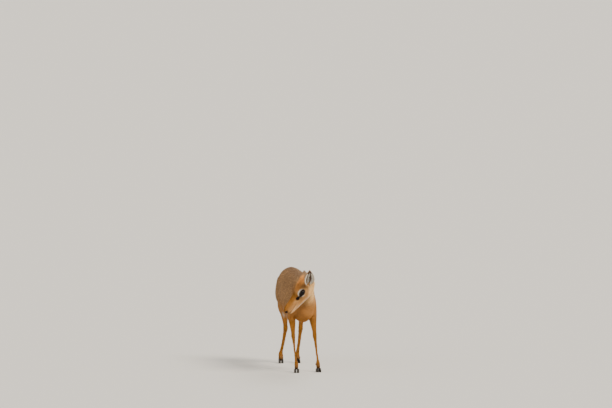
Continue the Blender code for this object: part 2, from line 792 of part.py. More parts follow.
def stand_at_origin(items):
    # The origin lies on the floor, under the middle of the animal's own box
    corners = [vert.co for item in items for vert in item.data.vertices]
    low = [min(co[k] for co in corners) for k in range(3)]
    high = [max(co[k] for co in corners) for k in range(3)]
    shift = Matrix.Translation((-(low[0] + high[0]) / 2, -(low[1] + high[1]) / 2, -low[2]))
    for item in items:
        item.data.transform(shift)


def dress(item, material):
    item.data.materials.clear()
    item.data.materials.append(material)
    item.data.polygons.foreach_set("use_smooth", [True] * len(item.data.polygons))
    item.data.set_sharp_from_angle(angle=math.radians(50))


clear_scene()
head, neck, legs, torso = part_body(whole_body())
feet(legs)
make_tail(torso)
head_features(head)
for word, side in (("right", -1), ("left", 1)):
    make_ear("ear_" + word, side, head, neck)
stand_at_origin(bpy.data.objects)
for item in bpy.data.objects:
    colours = {"hoof": HORN_BLACK, "false": HORN_BLACK, "eye": EYE_BLACK, "leg": TAN, "torso": FLANK}
    first = item.name.split("_")[0]
    dress(item, finish_of(item.name, colours.get(first, COAT)))
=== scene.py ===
# A dik-dik as a still, life-size model: one skin under a coat of fine tufts, on four small hooves.
# It stands on the floor, faces -Y with its head turned to its own right, and +Z is up.

import heapq
import math

import bpy
import numpy as np
from mathutils import Matrix, Vector
from mathutils.bvhtree import BVHTree


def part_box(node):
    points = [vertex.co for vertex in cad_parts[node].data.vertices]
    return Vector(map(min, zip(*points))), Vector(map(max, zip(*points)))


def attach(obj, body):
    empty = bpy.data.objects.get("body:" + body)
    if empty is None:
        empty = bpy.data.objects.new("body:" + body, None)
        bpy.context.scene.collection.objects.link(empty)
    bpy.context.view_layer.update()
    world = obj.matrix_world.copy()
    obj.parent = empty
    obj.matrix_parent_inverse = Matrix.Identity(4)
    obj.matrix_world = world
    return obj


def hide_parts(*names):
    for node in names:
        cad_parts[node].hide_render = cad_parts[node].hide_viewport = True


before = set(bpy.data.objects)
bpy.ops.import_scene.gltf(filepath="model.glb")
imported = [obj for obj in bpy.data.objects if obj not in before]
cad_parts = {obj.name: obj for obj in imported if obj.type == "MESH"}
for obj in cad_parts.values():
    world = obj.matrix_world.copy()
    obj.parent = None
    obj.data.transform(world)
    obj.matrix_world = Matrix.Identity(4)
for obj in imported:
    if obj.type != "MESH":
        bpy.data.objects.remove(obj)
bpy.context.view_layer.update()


# Camera
# A long lens, as for shy animals, far off and a little above the back.
# It stands on the animal's left of dead ahead, and the animal fills the lower middle of the picture.

PICTURE_PIXELS = 612
PIXELS_A_METRE = 280
VIEW_TURN = math.radians(-11)
VIEW_DROP = math.radians(4.5)
VIEW_FROM = 20.0
VIEW_MIDDLE = Vector((0.0559, 0.0791, 0.5839))
FILM_WIDTH = 36.0
NEAREST = 1.0
FARTHEST = 300.0

toward_lens = Vector((math.sin(VIEW_TURN) * math.cos(VIEW_DROP),
                      -math.cos(VIEW_TURN) * math.cos(VIEW_DROP), math.sin(VIEW_DROP)))
bpy.ops.object.camera_add(location=VIEW_MIDDLE + toward_lens * VIEW_FROM)
camera = bpy.context.object
camera.name = "camera"
camera.rotation_euler = (-toward_lens).to_track_quat("-Z", "Y").to_euler()
camera.data.sensor_width = FILM_WIDTH
camera.data.lens = FILM_WIDTH * VIEW_FROM * PIXELS_A_METRE / PICTURE_PIXELS
camera.data.clip_start = NEAREST
camera.data.clip_end = FARTHEST
bpy.context.scene.camera = camera


# Floor and light
# A plain pale studio floor, wide enough to fill every view, and soft light from a big lamp
# up on the camera's right, a weaker one on its left, and the pale room all round.

FLOOR_HALF = 150.0
FLOOR_COLOUR = (0.72, 0.70, 0.66, 1)
FLOOR_ROUGHNESS = 0.9
ROOM_COLOUR = (0.86, 0.84, 0.80, 1)
ROOM_LIGHT = 0.55

bpy.ops.mesh.primitive_plane_add(size=2 * FLOOR_HALF)
floor = bpy.context.object
floor.name = "studio_floor"
bpy.ops.object.transform_apply()
floor_finish = bpy.data.materials.new("studio_floor")
floor_finish.use_nodes = True
floor_shader = floor_finish.node_tree.nodes["Principled BSDF"]
floor_shader.inputs["Base Color"].default_value = FLOOR_COLOUR
floor_shader.inputs["Roughness"].default_value = FLOOR_ROUGHNESS
floor.data.materials.append(floor_finish)


def soft_lamp(name, direction, strength, colour, spread):
    bpy.ops.object.light_add(type="SUN", location=Vector(direction) * 3)
    lamp = bpy.context.object
    lamp.name = name
    lamp.rotation_euler = (-Vector(direction)).to_track_quat("-Z", "Y").to_euler()
    lamp.data.energy = strength
    lamp.data.color = colour
    lamp.data.angle = math.radians(spread)


soft_lamp("key_lamp", (0.75, -0.85, 1.05), 3.6, (1.0, 0.92, 0.80), 24)
soft_lamp("fill_lamp", (-0.9, -0.7, 0.6), 1.1, (1.0, 0.96, 0.90), 60)
soft_lamp("rim_lamp", (0.5, 0.9, 0.9), 1.4, (1.0, 0.94, 0.85), 30)

world = bpy.data.worlds.new("studio")
world.use_nodes = True
world.node_tree.nodes["Background"].inputs["Color"].default_value = ROOM_COLOUR
world.node_tree.nodes["Background"].inputs["Strength"].default_value = ROOM_LIGHT
bpy.context.scene.world = world


# Skin: the body
# One hide over neck, trunk, tail and legs, drawn from the solid pieces of the flesh.
# The joined copies are remeshed into one closed surface and eased, so that no cut shows,
# and then drawn in by the depth of the coat that covers them.

BODY_NODES = ["torso", "neck", "tail", "leg_fore_right", "leg_fore_left", "leg_hind_right", "leg_hind_left"]
FEET = ("fore_right", "fore_left", "hind_right", "hind_left")
BODY_GRAIN = 0.0026
BRIDGE_GAPS = 0.00035
PASTERN = (0.0094, 0.0086, 0.0068)
PASTERN_AT = (0.0026, 0.0190)
HEEL = (0.0092, 0.0060, 0.0056)
HEEL_AT = (0.0074, 0.0120)
SPUR_PAD = (0.0040, 0.0050, 0.0058)
SPUR_PAD_AT = Vector((0, -0.0026, 0.0012))
WELD = 0.00001
NECK_GIRTH = 0.97


def pick(*items):
    for item in bpy.context.selected_objects:
        item.select_set(False)
    for item in items:
        item.select_set(True)
    bpy.context.view_layer.objects.active = items[0]


def solid_copy(node):
    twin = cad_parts[node].copy()
    twin.data = twin.data.copy()
    twin.parent = None
    for key in list(twin.keys()):
        del twin[key]
    bpy.context.scene.collection.objects.link(twin)
    return twin


def edit(item, step):
    pick(item)
    bpy.ops.object.mode_set(mode="EDIT")
    bpy.ops.mesh.select_all(action="SELECT")
    step()
    bpy.ops.object.mode_set(mode="OBJECT")


def face_out(item):
    edit(item, lambda: bpy.ops.mesh.normals_make_consistent(inside=False))


def join(items, name):
    pick(*items)
    bpy.ops.object.join()
    joined = bpy.context.object
    joined.name = name
    joined.data.name = name
    return joined


def apply(item, kind, **settings):
    pick(item)
    step = item.modifiers.new("step", kind)
    for key, value in settings.items():
        setattr(step, key, value)
    bpy.ops.object.modifier_apply(modifier=step.name)


def combine(item, other, operation):
    apply(item, "BOOLEAN", operation=operation, solver="MANIFOLD", object=other)
    bpy.data.objects.remove(other, do_unlink=True)


def listed(items, field, width, kind=np.float32):
    # One field of many items, as rows of numbers
    flat = np.empty(len(items) * width, kind)
    items.foreach_get(field, flat)
    return flat.reshape(-1, width)


def places(mesh):
    return listed(mesh.vertices, "co", 3).astype(float)


def put_places(mesh, spots):
    mesh.vertices.foreach_set("co", spots.astype(np.float32).ravel())
    mesh.update()


def outward(mesh):
    return listed(mesh.vertex_normals, "vector", 3).astype(float)


def edge_ends(mesh):
    return listed(mesh.edges, "vertices", 2, np.int32)


def averaged(values, ends):
    # Each point's mean of its neighbours' values
    count = np.bincount(ends.ravel(), minlength=len(values)).astype(float)
    total = np.zeros_like(values)
    for here, there in ((ends[:, 0], ends[:, 1]), (ends[:, 1], ends[:, 0])):
        for k in range(values.shape[1]):
            total[:, k] += np.bincount(here, weights=values[there, k], minlength=len(values))
    return total / np.maximum(count, 1)[:, None]


def ease_surface(item, rounds, share=None, pull=0.55, push=0.57):
    # Evens out small bumps and keeps the form's girth: each round pulls in, then pushes back
    ends = edge_ends(item.data)
    spots = places(item.data)
    weight = np.ones(len(spots)) if share is None else share
    for _ in range(rounds):
        for step in (pull, -push):
            spots += (averaged(spots, ends) - spots) * (step * weight)[:, None]
    put_places(item.data, spots)


def smooth_step(value, low, high):
    part = np.clip((value - low) / (high - low), 0, 1)
    return part * part * (3 - 2 * part)


def middle_of(node):
    low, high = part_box(node)
    return (low + high) / 2


def ball(centre, radii, turn=Matrix.Identity(4), segments=32, bands=20):
    bpy.ops.mesh.primitive_uv_sphere_add(segments=segments, ring_count=bands, radius=1)
    item = bpy.context.object
    item.data.transform(Matrix.Translation(centre) @ turn @ Matrix.Diagonal((*radii, 1)))
    return item


def smooth_rows(rows, spots):
    # A smooth curve through rows of values, read at places counted in rows
    rows = np.array(rows, float)
    row = np.minimum(spots.astype(int), len(rows) - 2)
    part = (spots - row)[:, None]
    before = rows[np.maximum(row - 1, 0)]
    here = rows[row]
    there = rows[row + 1]
    after = rows[np.minimum(row + 2, len(rows) - 1)]
    square = part * part
    cube = square * part
    return (here * (2 * cube - 3 * square + 1) + (there - before) / 2 * (cube - 2 * square + part)
            + there * (3 * square - 2 * cube) + (after - here) / 2 * (cube - square))


def rounded_tube(stations, place, segments=40, bands=56):
    # A ball drawn out over stations: its bands become the rings, and its poles close the ends
    bpy.ops.mesh.primitive_uv_sphere_add(segments=segments, ring_count=bands, radius=1)
    item = bpy.context.object
    spots = places(item.data)
    polar = np.arccos(np.clip(-spots[:, 2], -1, 1))
    ring = np.clip((polar / math.pi * bands - 1) / (bands - 2), 0, 1)
    closed = np.hypot(spots[:, 0], spots[:, 1]) > 0.001
    turn = np.arctan2(spots[:, 1], spots[:, 0])
    rows = smooth_rows(stations, ring * (len(stations) - 1))
    put_places(item.data, place(rows, np.cos(turn) * closed, np.sin(turn) * closed))
    return item


# The neck's last stations before the skull: a place, half the width and half the depth
NECK_TOP = (
    (0.0175, -0.1002, 0.270, 0.0263, 0.0560),
    (0.0208, -0.1322, 0.284, 0.0199, 0.0430),
    (0.0213, -0.1572, 0.301, 0.0160, 0.0345),
    (0.0209, -0.1752, 0.317, 0.0156, 0.0285),
    (0.0183, -0.1872, 0.327, 0.0150, 0.0190),
)
NECK_LEAN = Vector((0.0, -0.79, 0.61))


def neck_top(low_share, high_share):
    # The same stretch of neck, its girth scaled at the shoulders' end and at the skull's end
    across = Vector((1, 0, 0))
    third = NECK_LEAN.cross(across)

    def place(rows, side, deep):
        spread = np.linspace(low_share, high_share, len(NECK_TOP))
        share = np.interp(rows[:, 1], [row[1] for row in NECK_TOP][::-1], spread[::-1])
        return (rows[:, :3] + np.outer(rows[:, 3] * side * share, across)
                + np.outer(rows[:, 4] * deep * share, third))

    return rounded_tube(NECK_TOP, place)


fillings = []
for foot in FEET:
    toes = (middle_of(f"hoof_{foot}_inner") + middle_of(f"hoof_{foot}_outer")) / 2
    for (back, height), radii in ((PASTERN_AT, PASTERN), (HEEL_AT, HEEL)):
        fillings.append(ball(Vector((toes.x, toes.y + back, height)), radii))
    for word in ("inner", "outer"):
        fillings.append(ball(middle_of(f"false_hoof_{foot}_{word}") + SPUR_PAD_AT, SPUR_PAD))
skin = join([solid_copy(node) for node in BODY_NODES] + fillings
            + [neck_top(NECK_GIRTH, NECK_GIRTH)], "skin")
edit(skin, lambda: bpy.ops.mesh.remove_doubles(threshold=WELD))
put_places(skin.data, places(skin.data) + outward(skin.data) * BRIDGE_GAPS)
apply(skin, "REMESH", mode="VOXEL", voxel_size=BODY_GRAIN)
ease_surface(skin, rounds=40)

# The coat's depth over the skin, in metres: on the face, and at heights above the floor
FACE_COAT = 0.0007
TRUNK_COAT = 0.0036
COAT_BY_HEIGHT = ((0.03, 0.0007), (0.13, 0.0007), (0.18, 0.0015), (0.24, 0.0026), (0.27, TRUNK_COAT))

# Muscle and bone that show through the coat: how far from the middle, where along, how high,
# how far each reaches and how much it rises
RELIEF = (
    (0.030, -0.0788, 0.300, 0.022, 0.0018),
    (0.040, -0.1028, 0.262, 0.018, 0.0014),
    (0.050, -0.0308, 0.262, 0.024, -0.0026),
    (0.046, -0.0528, 0.200, 0.016, 0.0012),
    (0.045, 0.0952, 0.290, 0.026, -0.0034),
    (0.028, 0.1312, 0.332, 0.014, 0.0022),
    (0.046, 0.1592, 0.262, 0.032, 0.0016),
    (0.036, 0.1072, 0.196, 0.016, 0.0014),
    (0.020, 0.1992, 0.330, 0.014, 0.0012),
    (0.000, -0.0658, 0.352, 0.022, 0.0012),
)
TRUNK_X = middle_of("torso").x


def swell(rise, values, bumps):
    # Adds soft bumps and hollows on both sides: where each is, how far it reaches, how high it rises
    for *place, reach, height in bumps:
        away = sum((value - at) ** 2 for value, at in zip(values, place))
        rise += height * np.exp(-away / reach ** 2)
    return rise[:, None]


spots = places(skin.data)
rise = -np.interp(spots[:, 2], *zip(*COAT_BY_HEIGHT))
rise = swell(rise, (np.abs(spots[:, 0] - TRUNK_X), spots[:, 1], spots[:, 2]), RELIEF)
put_places(skin.data, spots + outward(skin.data) * rise)
ease_surface(skin, rounds=3)


# Skin: the head
# A long narrow head with a soft trunk-like nose, deep cheeks and big eyes set at its sides.
# Its forms are drawn out of balls, remeshed finely, shaped, cut for eyes, nostrils and mouth,
# and joined to the body.

HEAD_GRAIN = 0.0010
HEAD_TURN = math.radians(86)
HEAD_DROP = math.radians(50)
EYE_AT = (0.0495, 0.0176, -0.001)
EYE_RADIUS = 0.0138
SIDES = (("right", -1), ("left", 1))
ORBIT = (0.0255, 0.0143, 0.0215)
ORBIT_OFF_EYE = (0.0020, -0.0050, 0.0010)
SKULL_NECK_GIRTH = (0.86, 0.98)
# Along the head: its top, its bottom and half its width
SKULL = (
    (-0.0090, 0.0100, -0.0140, 0.0090),
    (-0.0040, 0.0185, -0.0200, 0.0160),
    (0.0100, 0.0245, -0.0268, 0.0238),
    (0.0300, 0.0275, -0.0300, 0.0268),
    (0.0500, 0.0252, -0.0280, 0.0258),
    (0.0680, 0.0205, -0.0245, 0.0212),
    (0.0850, 0.0172, -0.0215, 0.0165),
    (0.1020, 0.0150, -0.0185, 0.0137),
    (0.1180, 0.0135, -0.0160, 0.0123),
    (0.1300, 0.0112, -0.0130, 0.0108),
    (0.1370, 0.0066, -0.0090, 0.0076),
    (0.1405, 0.0010, -0.0030, 0.0020),
)
JAW = (
    (0.0200, -0.0140, -0.0340, 0.0170),
    (0.0450, -0.0160, -0.0330, 0.0145),
    (0.0700, -0.0160, -0.0290, 0.0108),
    (0.0950, -0.0150, -0.0260, 0.0088),
    (0.1150, -0.0140, -0.0240, 0.0078),
    (0.1270, -0.0130, -0.0212, 0.0066),
    (0.1320, -0.0150, -0.0180, 0.0025),
)

left_way = (middle_of("eye_left") - middle_of("eye_right")).normalized()
nose_line = Vector((-math.sin(HEAD_TURN) * math.cos(HEAD_DROP),
                    -math.cos(HEAD_TURN) * math.cos(HEAD_DROP), -math.sin(HEAD_DROP)))
nose_way = (nose_line - left_way * nose_line.dot(left_way)).normalized()
crown_way = nose_way.cross(left_way)
head_turn = Matrix((nose_way, left_way, crown_way)).transposed().to_4x4()
eye_middle = (middle_of("eye_left") + middle_of("eye_right")) / 2
head_at = eye_middle - nose_way * EYE_AT[0] - crown_way * EYE_AT[2]


def on_head(along, aside, above):
    return head_at + nose_way * along + left_way * aside + crown_way * above


def many_on_head(along, aside, above):
    return (np.array(head_at) + np.outer(along, nose_way) + np.outer(aside, left_way)
            + np.outer(above, crown_way))


def head_places(spots):
    # Places along, across and above the head's own middle line
    return ((spots - np.array(head_at)) @ np.array(head_turn.to_3x3())).T


def head_form(stations):
    def place(rows, side, deep):
        along, top, bottom, half = rows.T
        return many_on_head(along, half * side, (top + bottom) / 2 + (top - bottom) / 2 * deep)

    return rounded_tube(stations, place)


def surface_point(tree, along, above, side):
    # Where a line from the side meets the head
    return tree.ray_cast(on_head(along, side * CLEAR_OF_HEAD, above), left_way * -side)[0]


def tree_of(item):
    return BVHTree.FromObject(item, bpy.context.evaluated_depsgraph_get())


EAR_AT = (0.013, 0.0216, 0.005)
EAR_LEAN = (-0.627, 0.60, 0.496)
EAR_BURR = 0.0070
EAR_BURR_SUNK = 0.0065
EAR_ROOT_HALF = 0.0072
EAR_FACING = math.radians(-18)
CLEAR_OF_HEAD = 0.06
FACE_RELIEF = (
    (0.0400, 0.0270, 0.0150, 0.0100, 0.0014),
    (0.0300, 0.0240, -0.0190, 0.0140, 0.0014),
    (0.0740, 0.0190, -0.0090, 0.0090, -0.0012),
    (0.0700, 0.0140, 0.0130, 0.0090, -0.0008),
    (0.1270, 0.0100, -0.0010, 0.0075, 0.0009),
    (0.1180, 0.0000, 0.0130, 0.0120, 0.0006),
    (0.1000, 0.0120, -0.0060, 0.0110, -0.0006),
)


def ear_root(side):
    return on_head(EAR_AT[0], side * EAR_AT[1], EAR_AT[2])


def ear_ways(side):
    # The ear's own directions: out to its tip, toward its opening, and across its leaf
    way = nose_way * EAR_LEAN[0] + left_way * (EAR_LEAN[1] * side) + crown_way * EAR_LEAN[2]
    way.normalize()
    open_to = left_way * (side * math.cos(EAR_FACING)) + nose_way * math.sin(EAR_FACING)
    open_to = (open_to - way * open_to.dot(way)).normalized()
    return way, open_to, way.cross(open_to)


head_forms = [head_form(SKULL), head_form(JAW), neck_top(*SKULL_NECK_GIRTH)]
for side in (-1, 1):
    along, aside, above = (at + off for at, off in zip(EYE_AT, ORBIT_OFF_EYE))
    head_forms.append(ball(on_head(along, side * aside, above), ORBIT, head_turn))
    way, open_to, across = ear_ways(side)
    head_forms.append(ball(ear_root(side) - way * EAR_BURR_SUNK + open_to * EAR_ROOT_HALF, (EAR_BURR,) * 3,
                           way.to_track_quat("Z", "Y").to_matrix().to_4x4()))
head = join(head_forms, "head_form")
apply(head, "REMESH", mode="VOXEL", voxel_size=HEAD_GRAIN)
ease_surface(head, rounds=20)
spots = places(head.data)
along, aside, above = head_places(spots)
rise = swell(np.zeros(len(spots)), (along, np.abs(aside), above), FACE_RELIEF)
put_places(head.data, spots + outward(head.data) * rise)
put_places(head.data, places(head.data) - outward(head.data) * FACE_COAT)


# Skin: lids, tear pits, nostrils and mouth
# Thick soft lids rest on each eyeball, with a dark gland pit in front of it,
# two comma-shaped nostrils at the end of the nose, and the thin line of a small mouth.

LID_ALONG = 0.0110
LID_ABOVE = 0.0081
UPPER_LID = 0.0019
LOWER_LID = 0.0014
LID_SKIRT = 0.0042
LID_SLOPE = 0.0068
GLAND_AT = (0.0765, -0.002)
MOUTH_CORNER = 0.0935
MOUTH_LEVEL = -0.0130
LID_TILT = 0.0012
LID_TUBE = 0.25
LID_CORNER = 0.0016
LID_OFF_BALL = 0.0003
LID_LIFT = 0.8
SOCKET_PLAY = 0.0002
PIT = (0.0034, 0.0015, 0.0021)
PIT_OUT = 0.0004
# Each nostril is three balls: how far along and above, half its length and half its height
NOSTRIL = (
    (0.1366, -0.0036, 0.0022, 0.0016),
    (0.1346, -0.0020, 0.0020, 0.0012),
    (0.1322, -0.0004, 0.0018, 0.0008),
)
NOSTRIL_DEEP = 0.0020
NOSE_PAD = (0.1400, -0.0035)
PAD_REACH = (0.0100, 0.0110, 0.0064)
NOSE_CLEFT_AT = (0.1400, 0, -0.0045)
NOSE_CLEFT = (0.0016, 0.0005, 0.0046)
MOUTH_STEP = 0.0052
MOUTH_WAVE = 0.0016
WAVES = 106
LIP_FRONTS = (0.0045, 0, -0.0045)
LIP_GROOVE = 0.0011
AHEAD_OF_NOSE = 0.2
GROOVE_WIDE = 1.4
GROOVE_HIGH = 0.7


def lid_distance(along, above):
    # 1 at the rim of the lids' opening, and more outside it
    return np.hypot((along - EYE_AT[0]) / LID_ALONG, (above - EYE_AT[2]) / LID_ABOVE)


def pad_distance(along, aside, above):
    # 1 at the edge of the bare nose, and more outside it
    return np.sqrt(((along - NOSE_PAD[0]) / PAD_REACH[0]) ** 2 + (aside / PAD_REACH[1]) ** 2
                   + ((above - NOSE_PAD[1]) / PAD_REACH[2]) ** 2)


def lid_edge(turn):
    # The almond outline of the lids' opening, along and above the middle of the eye
    x = LID_ALONG * np.cos(turn)
    z = LID_ABOVE * np.sin(turn) - LID_TILT * np.cos(turn)
    return x, z


def ball_front(x, z):
    # How far the eyeball stands out there
    return np.sqrt(np.maximum(EYE_RADIUS ** 2 - x * x - z * z, 0))


def lid_ring(side):
    # A ring drawn to the lids' almond outline: it follows the ball, thick above and thin below
    bpy.ops.mesh.primitive_torus_add(major_segments=64, minor_segments=12, major_radius=1,
                                     minor_radius=LID_TUBE)
    item = bpy.context.object
    spots = places(item.data)
    turn = np.arctan2(spots[:, 1], spots[:, 0])
    out = (np.hypot(spots[:, 0], spots[:, 1]) - 1) / LID_TUBE
    lift = spots[:, 2] / LID_TUBE
    corner = np.maximum(np.cos(turn), 0) ** 8 * LID_CORNER
    x, z = lid_edge(turn)
    x = x + corner
    z = z - corner
    thick = LOWER_LID + (UPPER_LID - LOWER_LID) * (0.5 + 0.5 * np.sin(turn))
    proud = ball_front(x, z) + LID_OFF_BALL
    skirt = np.maximum(out, 0)
    x += (out * thick + skirt * LID_SKIRT) * np.cos(turn)
    z += (out * thick + skirt * LID_SKIRT) * np.sin(turn)
    level = EYE_AT[1] + proud + lift * thick * LID_LIFT - skirt * LID_SLOPE
    put_places(item.data, many_on_head(EYE_AT[0] + x, side * level, EYE_AT[2] + z))
    face_out(item)
    return item


def mouth_height(along):
    # The lips meet in a line that waves a little between its corner and the front
    return MOUTH_LEVEL + MOUTH_WAVE * np.cos((along - MOUTH_CORNER) * WAVES)


def mouth_line(tree):
    # One thin groove from the left corner of the mouth round the front to the right corner
    steps = [MOUTH_CORNER + MOUTH_STEP * k for k in range(7)]
    found = [surface_point(tree, along, mouth_height(along), 1) for along in steps]
    found += [tree.ray_cast(on_head(AHEAD_OF_NOSE, aside, MOUTH_LEVEL - 0.0012), -nose_way)[0]
              for aside in LIP_FRONTS]
    found += [surface_point(tree, along, mouth_height(along), -1) for along in reversed(steps)]
    along, aside, above = head_places(np.array(found))
    depth = np.array([0.0004, 0.0008] + [LIP_GROOVE] * (len(found) - 4) + [0.0008, 0.0004])

    def place(rows, side, deep):
        x, y, z, half = rows.T
        level = np.stack([np.maximum((x - 0.122) / 0.006, 0), y / 0.008], axis=1)
        level /= np.maximum(np.linalg.norm(level, axis=1), 0.01)[:, None]
        return many_on_head(x + level[:, 0] * half * side * GROOVE_WIDE,
                            y + level[:, 1] * half * side * GROOVE_WIDE, z + half * deep * GROOVE_HIGH)

    groove = rounded_tube(np.stack([along, aside, above, depth], axis=1), place, segments=10, bands=90)
    face_out(groove)
    return groove


head_skin = tree_of(head)
for side in (-1, 1):
    combine(head, lid_ring(side), "UNION")
along, aside, above = head_places(places(head.data))
rim = lid_distance(along, above)
orbit = smooth_step(rim, 1.30, 1.50) * smooth_step(rim, 3.4, 2.3) * smooth_step(np.abs(aside), 0.010, 0.014)
ease_surface(head, 9, orbit, pull=0.5, push=0.2)
for side in (-1, 1):
    pit = surface_point(head_skin, *GLAND_AT, side)
    combine(head, ball(pit + left_way * (side * PIT_OUT), PIT, head_turn, 20, 12), "DIFFERENCE")
    for along, above, half_long, half_high in NOSTRIL:
        nostril = surface_point(head_skin, along, above, side)
        combine(head, ball(nostril, (half_long, NOSTRIL_DEEP, half_high), head_turn, 20, 12), "DIFFERENCE")
combine(head, ball(on_head(*NOSE_CLEFT_AT), NOSE_CLEFT, head_turn, 16, 10), "DIFFERENCE")
combine(head, mouth_line(head_skin), "DIFFERENCE")
ease_surface(head, rounds=2, pull=0.5, push=0.3)
for side in (-1, 1):
    socket = ball(on_head(EYE_AT[0], side * EYE_AT[1], EYE_AT[2]), (EYE_RADIUS + SOCKET_PLAY,) * 3, head_turn,
                  segments=64, bands=40)
    combine(head, socket, "DIFFERENCE")


# Skin: the ears
# Tall thin leaves of gristle and hide, rolled nearly shut at the root and open and pointed above.
# Each is drawn from a flat grid, rolled round its own middle line, thickened and joined to the head.

EAR_LENGTH = 0.066
EAR_HALF_WIDTH = 0.0190
EAR_WIDEST = 0.42
EAR_SKIN = 0.0011
EAR_BEND = 0.006
EAR_SUNK = 0.004
EAR_POINT = 0.85
EAR_TIP_HALF = 0.0006
# How many degrees the leaf is rolled at its tip, how many more at its root, and how fast it opens
EAR_OPEN = 42
EAR_ROLLED = 100
EAR_UNROLLS = 2.2
EDGE_OUT = 0.0003
EDGE_CURL = 0.0012


def ear_width(share):
    low = np.clip(share / EAR_WIDEST, 0, 1)
    high = np.clip((share - EAR_WIDEST) / (1 - EAR_WIDEST), 0, 1)
    below = EAR_ROOT_HALF + (EAR_HALF_WIDTH - EAR_ROOT_HALF) * low * low * (3 - 2 * low)
    above = EAR_HALF_WIDTH * np.cos(high * math.pi / 2) ** EAR_POINT + EAR_TIP_HALF
    return np.where(share < EAR_WIDEST, below, above)


def ear_roll(share):
    # How far the leaf is rolled to each side of its middle line
    return np.radians(EAR_OPEN + EAR_ROLLED * (1 - share) ** EAR_UNROLLS)


def ear_radius(share):
    return ear_width(share) / np.sin(np.minimum(ear_roll(share), math.pi / 2))


def ear_spots(side, share, turn, radius, reach):
    # Places on or in an ear: how far up it, how far round its middle line and how far from its axis
    way, open_to, across = ear_ways(side)
    deep = radius - reach * np.cos(turn) + EAR_BEND * share * share
    return (np.array(ear_root(side)) + np.outer(EAR_LENGTH * share - EAR_SUNK, way) + np.outer(deep, open_to)
            + np.outer(reach * np.sin(turn), across))


def ear_leaf(side):
    bpy.ops.mesh.primitive_grid_add(x_subdivisions=30, y_subdivisions=44, size=2)
    leaf = bpy.context.object
    spots = places(leaf.data)
    across_share = spots[:, 0]
    share = (spots[:, 1] + 1) / 2
    radius = ear_radius(share)
    curl = smooth_step(np.abs(across_share), 0.75, 1) * smooth_step(share, 0.2, 0.5)
    reach = radius + EDGE_OUT - EDGE_CURL * curl
    put_places(leaf.data, ear_spots(side, share, ear_roll(share) * across_share, radius, reach))
    apply(leaf, "SOLIDIFY", thickness=EAR_SKIN, offset=0.0, use_even_offset=True)
    face_out(leaf)
    return leaf


# The plane that parts the head from the neck, and the way that it faces
HEAD_PLANE = (0.0173, -0.1572, 0.300)
HEAD_FACING = Vector((-0.60, -0.75, 0.20)).normalized()

for side in (-1, 1):
    combine(head, ear_leaf(side), "UNION")
combine(skin, head, "UNION")
spots = places(skin.data)
from_skull = (spots - np.array(HEAD_PLANE)) @ np.array(HEAD_FACING)
nape = smooth_step(from_skull, 0.022, 0.004) * smooth_step(spots[:, 1], -0.0758, -0.0958)
ease_surface(skin, 34, nape, pull=0.5, push=0.0)
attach(skin, "root")
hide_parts("head", "ear_left", "ear_right", *BODY_NODES)


# Skin: its markings
# The hide is tinted as the hair over it: grizzled grey-brown above, tan on chest and legs, white below,
# rust on crown and nose, pale cheeks and neck, a white ring round each eye and black glands and nose.
# Some of it is painted light: the neck's buff is brightened as painted sunlight, and the white below
# is held back where it faces forward and the inside of each ear is darkened, as painted shade.

GRIZZLE = (0.370, 0.208, 0.094)
SPINE_DARK = (0.220, 0.125, 0.062)
SANDY = (0.480, 0.212, 0.056)
TAN = (0.510, 0.208, 0.034)
RUMP_RUST = (0.460, 0.205, 0.055)
# The neck's buff, made brighter than the hair is, as painted sunlight
NECK_BUFF_SUNLIT = (1.000, 0.640, 0.280)
CHEEK = (0.530, 0.280, 0.100)
CROWN_RUST = (0.670, 0.295, 0.076)
NOSE_RUST = (0.360, 0.150, 0.026)
LIP_CREAM = (0.740, 0.470, 0.230)
LIP_LINE = (0.110, 0.052, 0.026)
WHITE = (0.860, 0.790, 0.670)
BLACK = (0.007, 0.0055, 0.0050)
EAR_BACK = (0.360, 0.230, 0.130)
EAR_RIM = (0.640, 0.420, 0.220)
# The inside of the ear's cup, darkened as painted shade in its hollow
EAR_INSIDE_SHADE = (0.150, 0.092, 0.070)
# The white ring round the eye: how far it reaches, how much farther ahead of the eye, and which way that is
RING_REACH = 1.50
RING_AHEAD = 0.27
RING_WAY = 0.55
HAIR_RELIEF = 0.0004
HAIR_SHEEN = 0.15


def mixed(colour, share, other):
    return colour + (np.array(other) - colour) * share[:, None]


def bump_at(value, middle, width):
    return np.exp(-((value - middle) / width) ** 2)


def laid_on(colour, values, marks):
    for other, strength, *spans in marks:
        share = strength
        for name, *span in spans:
            share = share * (smooth_step(values[name], *span) if span else values[name])
        colour = mixed(colour, share, other)
    return colour


